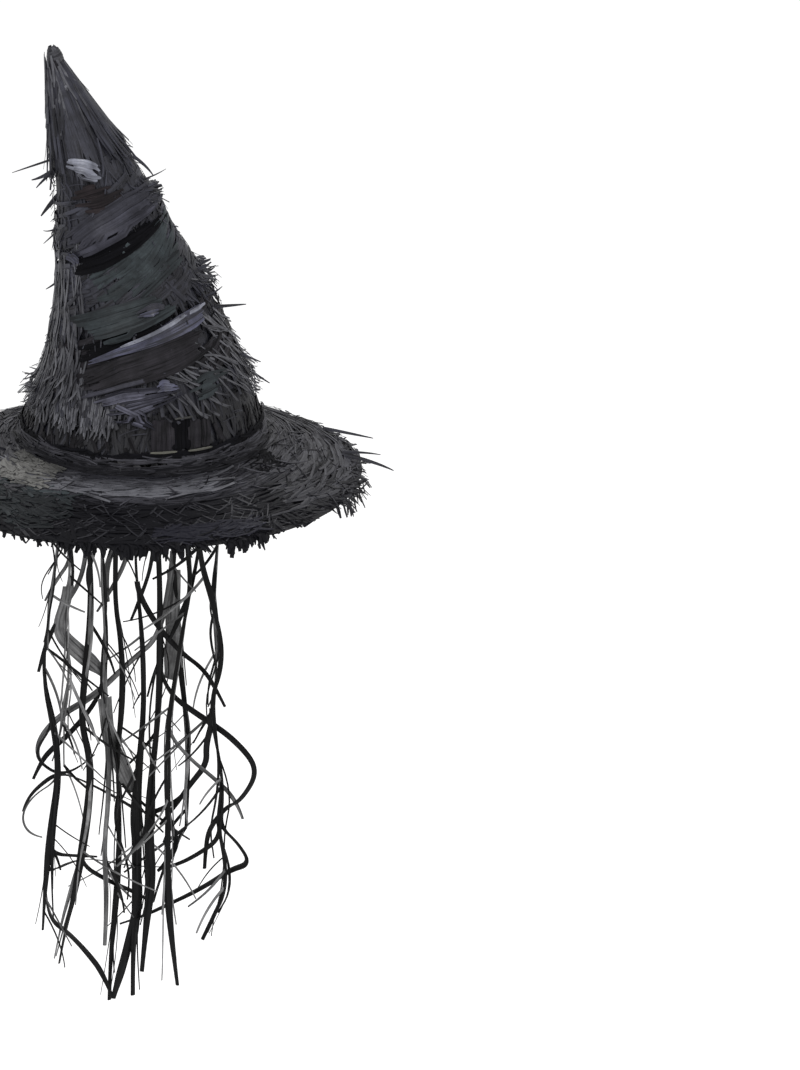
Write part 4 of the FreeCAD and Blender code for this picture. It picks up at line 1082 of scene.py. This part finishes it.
wisps = [  # tail index, height where it leaves, points, width and tone
    (8, -160, [(16, 100, -228), (-8, 104, -250), (-42, 100, -284), (-74, 92, -300), (-94, 84, -322),
        (-92, 82, -342), (-76, 84, -352)], 3.6, 0.1),
    (4, -262, [(-40, 102, -290), (-64, 92, -317), (-80, 86, -329), (-90, 82, -340), (-97, 80, -356)],
        3, 0.5),
    (0, -296, [(-95, 70, -325), (-90, 72, -338), (-74, 80, -352), (-55, 88, -348), (-42, 94, -338)],
        2.2, 0.4),
    (8, -380, [(12, 104, -398), (-2, 106, -398), (-18, 104, -386), (-50, 96, -365), (-72, 88, -353),
        (-85, 82, -357), (-103, 74, -372), (-106, 72, -384)], 3, 0.4),
    (0, -352, [(-98, 64, -366), (-108, 60, -384), (-101, 62, -402), (-89, 68, -407)], 1.8, 0.3),
    (6, -188, [(14, 104, -220), (36, 100, -244), (52, 92, -253), (63, 86, -266), (74, 80, -287)], 3.2,
        0.6),
    (7, -262, [(27, 104, -286), (44, 98, -297), (61, 90, -306), (79, 78, -315), (96, 68, -330),
        (101, 66, -342), (98, 68, -356), (86, 74, -376), (76, 80, -382), (61, 86, -404),
        (57, 88, -422), (56, 90, -446)], 3.4, 0.4),
    (9, -318, [(44, 98, -345), (61, 90, -356), (84, 78, -374), (90, 74, -392)], 2.6, 0),
    (10, -300, [(57, 92, -328), (58, 94, -347), (43, 100, -369), (27, 104, -395), (16, 106, -410)],
        3.4, 0.5),
    (10, -400, [(86, 76, -416), (97, 72, -434), (79, 82, -444), (61, 90, -460), (43, 98, -474),
        (22, 104, -487), (2, 106, -498), (-20, 104, -505)], 3.6, 0.4),
    (9, -400, [(33, 100, -424), (22, 102, -446), (14, 104, -454)], 3.4, 0.5),
    (10, -412, [(50, 94, -434), (30, 100, -447), (14, 102, -452)], 2.6, 0.3),
    (0, -424, [(-84, 76, -444), (-60, 88, -437), (-41, 96, -439), (-7, 104, -450), (20, 104, -450)],
        3, 0.5),
    (0, -410, [(-78, 80, -428), (-60, 86, -432), (-40, 94, -436)], 2.2, 0.3),
    (3, -440, [(-30, 100, -462), (-4, 106, -476), (6, 108, -484)], 3, 0.4),
    (0, -455, [(-82, 76, -490), (-66, 88, -507), (-49, 94, -529), (-35, 100, -551), (-27, 102, -574)],
        4, 0.2),
    (2, -112, [(-62, 90, -150), (-78, 82, -170), (-86, 80, -186)], 3, 0),
    (2, -126, [(-60, 90, -176), (-74, 84, -204), (-86, 80, -228), (-92, 76, -252)], 3.2, 0.6),
    (2, -186, [(-76, 84, -216), (-56, 92, -240), (-34, 100, -262)], 11, 0.3),
    (4, -296, [(-30, 104, -326), (-20, 106, -350), (-8, 106, -378)], 12.5, 0.2),
    (8, -178, [(27, 106, -212), (29, 108, -240), (24, 106, -270)], 12, 0.35),
    (5, -112, [(-24, 106, -140), (-34, 106, -172), (-30, 104, -196)], 3.4, 0.2),
    (4, -112, [(-42, 100, -146), (-50, 96, -170), (-44, 96, -190)], 3, 0.6),
    (6, -116, [(-12, 106, -150), (-22, 104, -176), (-40, 100, -204)], 2.6, 0.1),
    (7, -116, [(10, 104, -150), (4, 106, -180), (-10, 104, -214)], 2.8, 0.5),
    (10, -120, [(48, 96, -160), (40, 98, -196), (24, 102, -232)], 3.4, 0.5),
    (3, -118, [(-50, 96, -152), (-56, 94, -176), (-66, 90, -192)], 2.8, 0.2),
    (6, -452, [(-3, 104, -484), (-11, 105, -520), (-19, 104, -552), (-26, 103, -577)], 5.8, 0.2),
]
greyWisps = (0, 4, 7, 16, 18, 19, 20, 21, 23, 26)
wispStrand = dict(thick=0.0004, taper=0.4)
wispLook = dict(lead=0.012, wideFrom=6, scale=(1.45, 1.2), twist=(0.4, 0.18), seed=240)
for index, (tail, height, points, width, tone) in enumerate(wisps):
    wide = int(width > wispLook["wideFrom"])
    leave = height / 1000
    route = np.concatenate([[onTail(tail, leave + wispLook["lead"]), onTail(tail, leave)],
                            np.array(points) / 1000])
    hairStrand("wisp_%d" % (index + 1), route, "lock_%d" % (tail // 2 + 1),
               lockFrame(tail // 2)[0], dict(
                   wispStrand, width=width * wispLook["scale"][wide],
                   twist=wispLook["twist"][wide], tone=tone,
                   finish="greyWisp" if index in greyWisps else "hairRaffia",
                   seed=wispLook["seed"] + index))
print("wisps curled")


def looseFibres(name, lock, middle, towards, width, finish, tone, seed):
    # thin strips that ride on a lock
    stripMesh(name, *facing(middle, towards), width, finish, tone, seed,
              body="lock_%d" % (lock + 1), slot="hair_raffia")


frontSpread = 0.3


def aboutFront(draw, count):
    # directions scattered about the front
    return unit(draw.normal(0, 1, (count, 1, 3)) * frontSpread + np.array([0, -1, 0]))


hairFrays = dict(upper=(-0.270, -0.118), lower=(-0.480, -0.270), count=(4, 11),
    length=(0.030, 0.075), width=(0.0010, 0.0032), middle=-0.008, half=0.05, stray=(0.5, 0.2),
    drop=(0.7, 2.0), bend=(1, 0.3, 0.6), curl=0.22, taper=0.4, stations=9, tone=(-0.2, 0.8),
    seed=400)


def lockFrays(lock):
    # split fibres along a lock's two tails, most of them low down and leaning towards the middle
    # of the hair: P = A + l s D + c l s^2 C with D sideways and down
    values = hairFrays
    draw = np.random.default_rng(values["seed"] + lock)
    upper, lower = values["count"]
    heights = np.concatenate([draw.uniform(*values["upper"], upper),
                              draw.uniform(*values["lower"], lower)])
    tail = 2 * lock + (np.arange(upper + lower) % 2)
    lowest = np.array([tailRoutes[number][-1][2] / 1000 for number in tail])
    starts = np.array([onTail(number, height)
                       for number, height in zip(tail, np.maximum(heights, lowest))])[:, None]
    count = len(tail)
    column = (count, 1, 1)
    inward = np.clip((values["middle"] - starts[..., :1]) / values["half"], -1, 1)
    across, out = [draw.normal(0, stray, column) for stray in values["stray"]]
    side = unit(np.concatenate([inward + across, out, np.zeros(column)], axis=-1))
    head = unit(side - np.array([0, 0, 1]) * draw.uniform(*values["drop"], column))
    length = draw.uniform(*values["length"], column)
    bend = unit(draw.normal(0, 1, (count, 1, 3)) * np.array(values["bend"]))
    share = np.linspace(0, 1, values["stations"])[None, :, None]
    middle = starts + head * length * share + bend * length * values["curl"] * share ** 2
    towards = aboutFront(draw, count)
    width = draw.uniform(*values["width"], (count, 1)) * (1 - values["taper"] * share[..., 0] ** 2)
    black = draw.permutation(count) % 2 == 0
    for part, (finish, chosen) in enumerate((("hairRaffia", black), ("greyWisp", ~black))):
        looseFibres("frays_%d_%s" % (lock + 1, finish), lock, middle[chosen], towards[chosen],
                    width[chosen], finish, values["tone"], values["seed"] + 10 * part + lock)


tailFibres = dict(count=7, leave=(0.22, 0.76), length=(0.18, 0.45), last=0.99,
    drift=(0.0060, 0.004, 0), wobble=0.0024, wobbleAxes=(1, 0.6, 0), width=(0.0010, 0.0028),
    taper=0.5, stations=22, tone=(-0.2, 1), seed=500)


def lockFibres(lock):
    # fibres that split off along a lock's two tails: P = L(s) + t^2 drift + sin(2 pi t) wobble,
    # with t from 0, where a fibre leaves the tail, to 1 at its end
    values = tailFibres
    draw = np.random.default_rng(values["seed"] + lock)
    share = np.linspace(0, 1, values["stations"])[None]
    column = (values["count"], 1)
    middles = []
    for line in tailLines[2 * lock:2 * lock + 2]:
        along = alongLine(line)
        start = draw.uniform(*values["leave"], column)
        length = np.minimum(draw.uniform(*values["length"], column), values["last"] - start)
        here = (start + length * share) * along[-1]
        middles.append(np.stack([np.interp(here, along, line[:, axis]) for axis in range(3)], -1))
    middle = np.concatenate(middles)
    count = len(middle)
    drift = draw.normal(0, 1, (count, 1, 3)) * np.array(values["drift"])
    wobble = draw.normal(0, 1, (count, 1, 3)) * np.array(values["wobbleAxes"]) * values["wobble"]
    wave = np.sin(2 * math.pi * share)[..., None]
    middle = middle + drift * share[..., None] ** 2 + wobble * wave
    towards = aboutFront(draw, count)
    width = draw.uniform(*values["width"], (count, 1)) * (1 - values["taper"] * share ** 2)
    looseFibres("fibres_%d" % (lock + 1), lock, middle, towards, width,
                "greyWisp" if lock % 3 == 1 else "hairRaffia", values["tone"], values["seed"] + lock)


for lock in range(6):
    lockFrays(lock)
    lockFibres(lock)
print("locks frayed")


# the foundation gets its cloth; the other nodes are hidden by the pieces that stand for them
nodeCloth = {"sweatband": "cottonTape", "brim_board": "stiffBoard", "crown_shell": "stiffBoard",
             "brim_hoop": "hoopPlastic", "rim_tape": "cottonTape", "crown_seam_tape": "cottonTape",
             "hair_cord": "cottonTape", "cord_loops": "cottonTape"}
for nodeName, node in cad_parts.items():
    hidden = raffia["hairRaffia" if nodeName.endswith("knot") else "blackRaffia"]
    node.data.materials.clear()
    node.data.materials.append(cloth[nodeCloth[nodeName]] if nodeName in nodeCloth else hidden)
print("cloth on the foundation")


studio = dict(floor=-1.1, floorHalf=8, floorColour=0.9, floorRoughness=0.8, floorShine=0.1,
    floorGlow=0.45, world=0.62, aim=(0, 0, 0.05))
lamps = {   # place, power and width
    "keyLamp": ((-0.9, -1.8, 1.6), 30.0, 1.1),
    "fillLamp": ((1.6, -1.3, 0.5), 11.0, 1.2),
    "rimLamp": ((0.4, 1.8, 1.5), 14.0, 1.0),
}


def clearRay(tree):
    # 1 for camera, glossy and transmission rays, which see the plain background
    path = addNode(tree, "LightPath", {}).outputs
    some = mathNode(tree, "MAXIMUM", path["Is Camera Ray"], path["Is Glossy Ray"])
    return mathNode(tree, "MAXIMUM", some, path["Is Transmission Ray"])


def addObject(name, data):
    # the data as an object in the scene
    holder = bpy.data.objects.new(name, data)
    bpy.context.scene.collection.objects.link(holder)
    return holder


def stagePlane():
    # a square floor that glows a little for the rays that see the background, clear from below
    half, level = studio["floorHalf"], studio["floor"]
    mesh = bpy.data.meshes.new("floor")
    mesh.from_pydata([(-half, -half, level), (half, -half, level), (half, half, level),
                      (-half, half, level)], [], [(0, 1, 2, 3)])
    material, tree, shader = startMaterial("paleFloor")
    shader.inputs["Base Color"].default_value = (*[studio["floorColour"]] * 3, 1)
    shader.inputs["Roughness"].default_value = studio["floorRoughness"]
    shader.inputs["Specular IOR Level"].default_value = studio["floorShine"]
    shader.inputs["Emission Color"].default_value = (1, 1, 1, 1)
    glow = mathNode(tree, "MULTIPLY", clearRay(tree), studio["floorGlow"])
    tree.links.new(glow, shader.inputs["Emission Strength"])
    below = addNode(tree, "NewGeometry", {}).outputs["Backfacing"]
    tree.links.new(mathNode(tree, "SUBTRACT", 1, below), shader.inputs["Alpha"])
    mesh.materials.append(material)
    addObject("floor", mesh)


def whiteWorld():
    # an even light from all round, and a white background
    world = bpy.data.worlds.new("studio")
    world.use_nodes = True
    tree = world.node_tree
    tree.nodes.clear()
    level = rangeNode(tree, clearRay(tree), (0, 1), (studio["world"], 1))
    back = addNode(tree, "Background", {"Color": (1, 1, 1, 1), "Strength": level})
    addNode(tree, "OutputWorld", {"Surface": back.outputs[0]})
    bpy.context.scene.world = world


def softLamp(name, place, power, width):
    # a square lamp at its place, turned along aim - place
    lamp = bpy.data.lights.new(name, "AREA")
    lamp.energy = power
    lamp.size = width
    holder = addObject(name, lamp)
    holder.location = place
    towards = Vector(studio["aim"]) - Vector(place)
    holder.rotation_euler = towards.to_track_quat("-Z", "Y").to_euler()


camera = dict(distance=12, elevation=20, lens=460, sensor=36, clip=50, aside=(-0.2265, 0.0880))


def hatCamera():
    # straight in front of the hat; the camera is turned so that the hat stands aside in the view
    data = bpy.data.cameras.new("camera")
    data.sensor_width = camera["sensor"]
    data.lens = camera["lens"]
    data.clip_end = camera["clip"]
    tip = math.radians(camera["elevation"])
    place = Vector((0, -math.cos(tip), math.sin(tip))) * camera["distance"]
    look = (-place).to_track_quat("-Z", "Y")
    aside = Vector((*camera["aside"], -camera["distance"]))
    holder = addObject("camera", data)
    holder.location = place
    holder.rotation_mode = "QUATERNION"
    holder.rotation_quaternion = look @ aside.rotation_difference(Vector((0, 0, -1)))
    bpy.context.scene.camera = holder


stagePlane()
whiteWorld()
for lampName, lampValues in lamps.items():
    softLamp(lampName, *lampValues)
hatCamera()
bpy.context.scene.view_settings.view_transform = "Standard"
print("studio set")
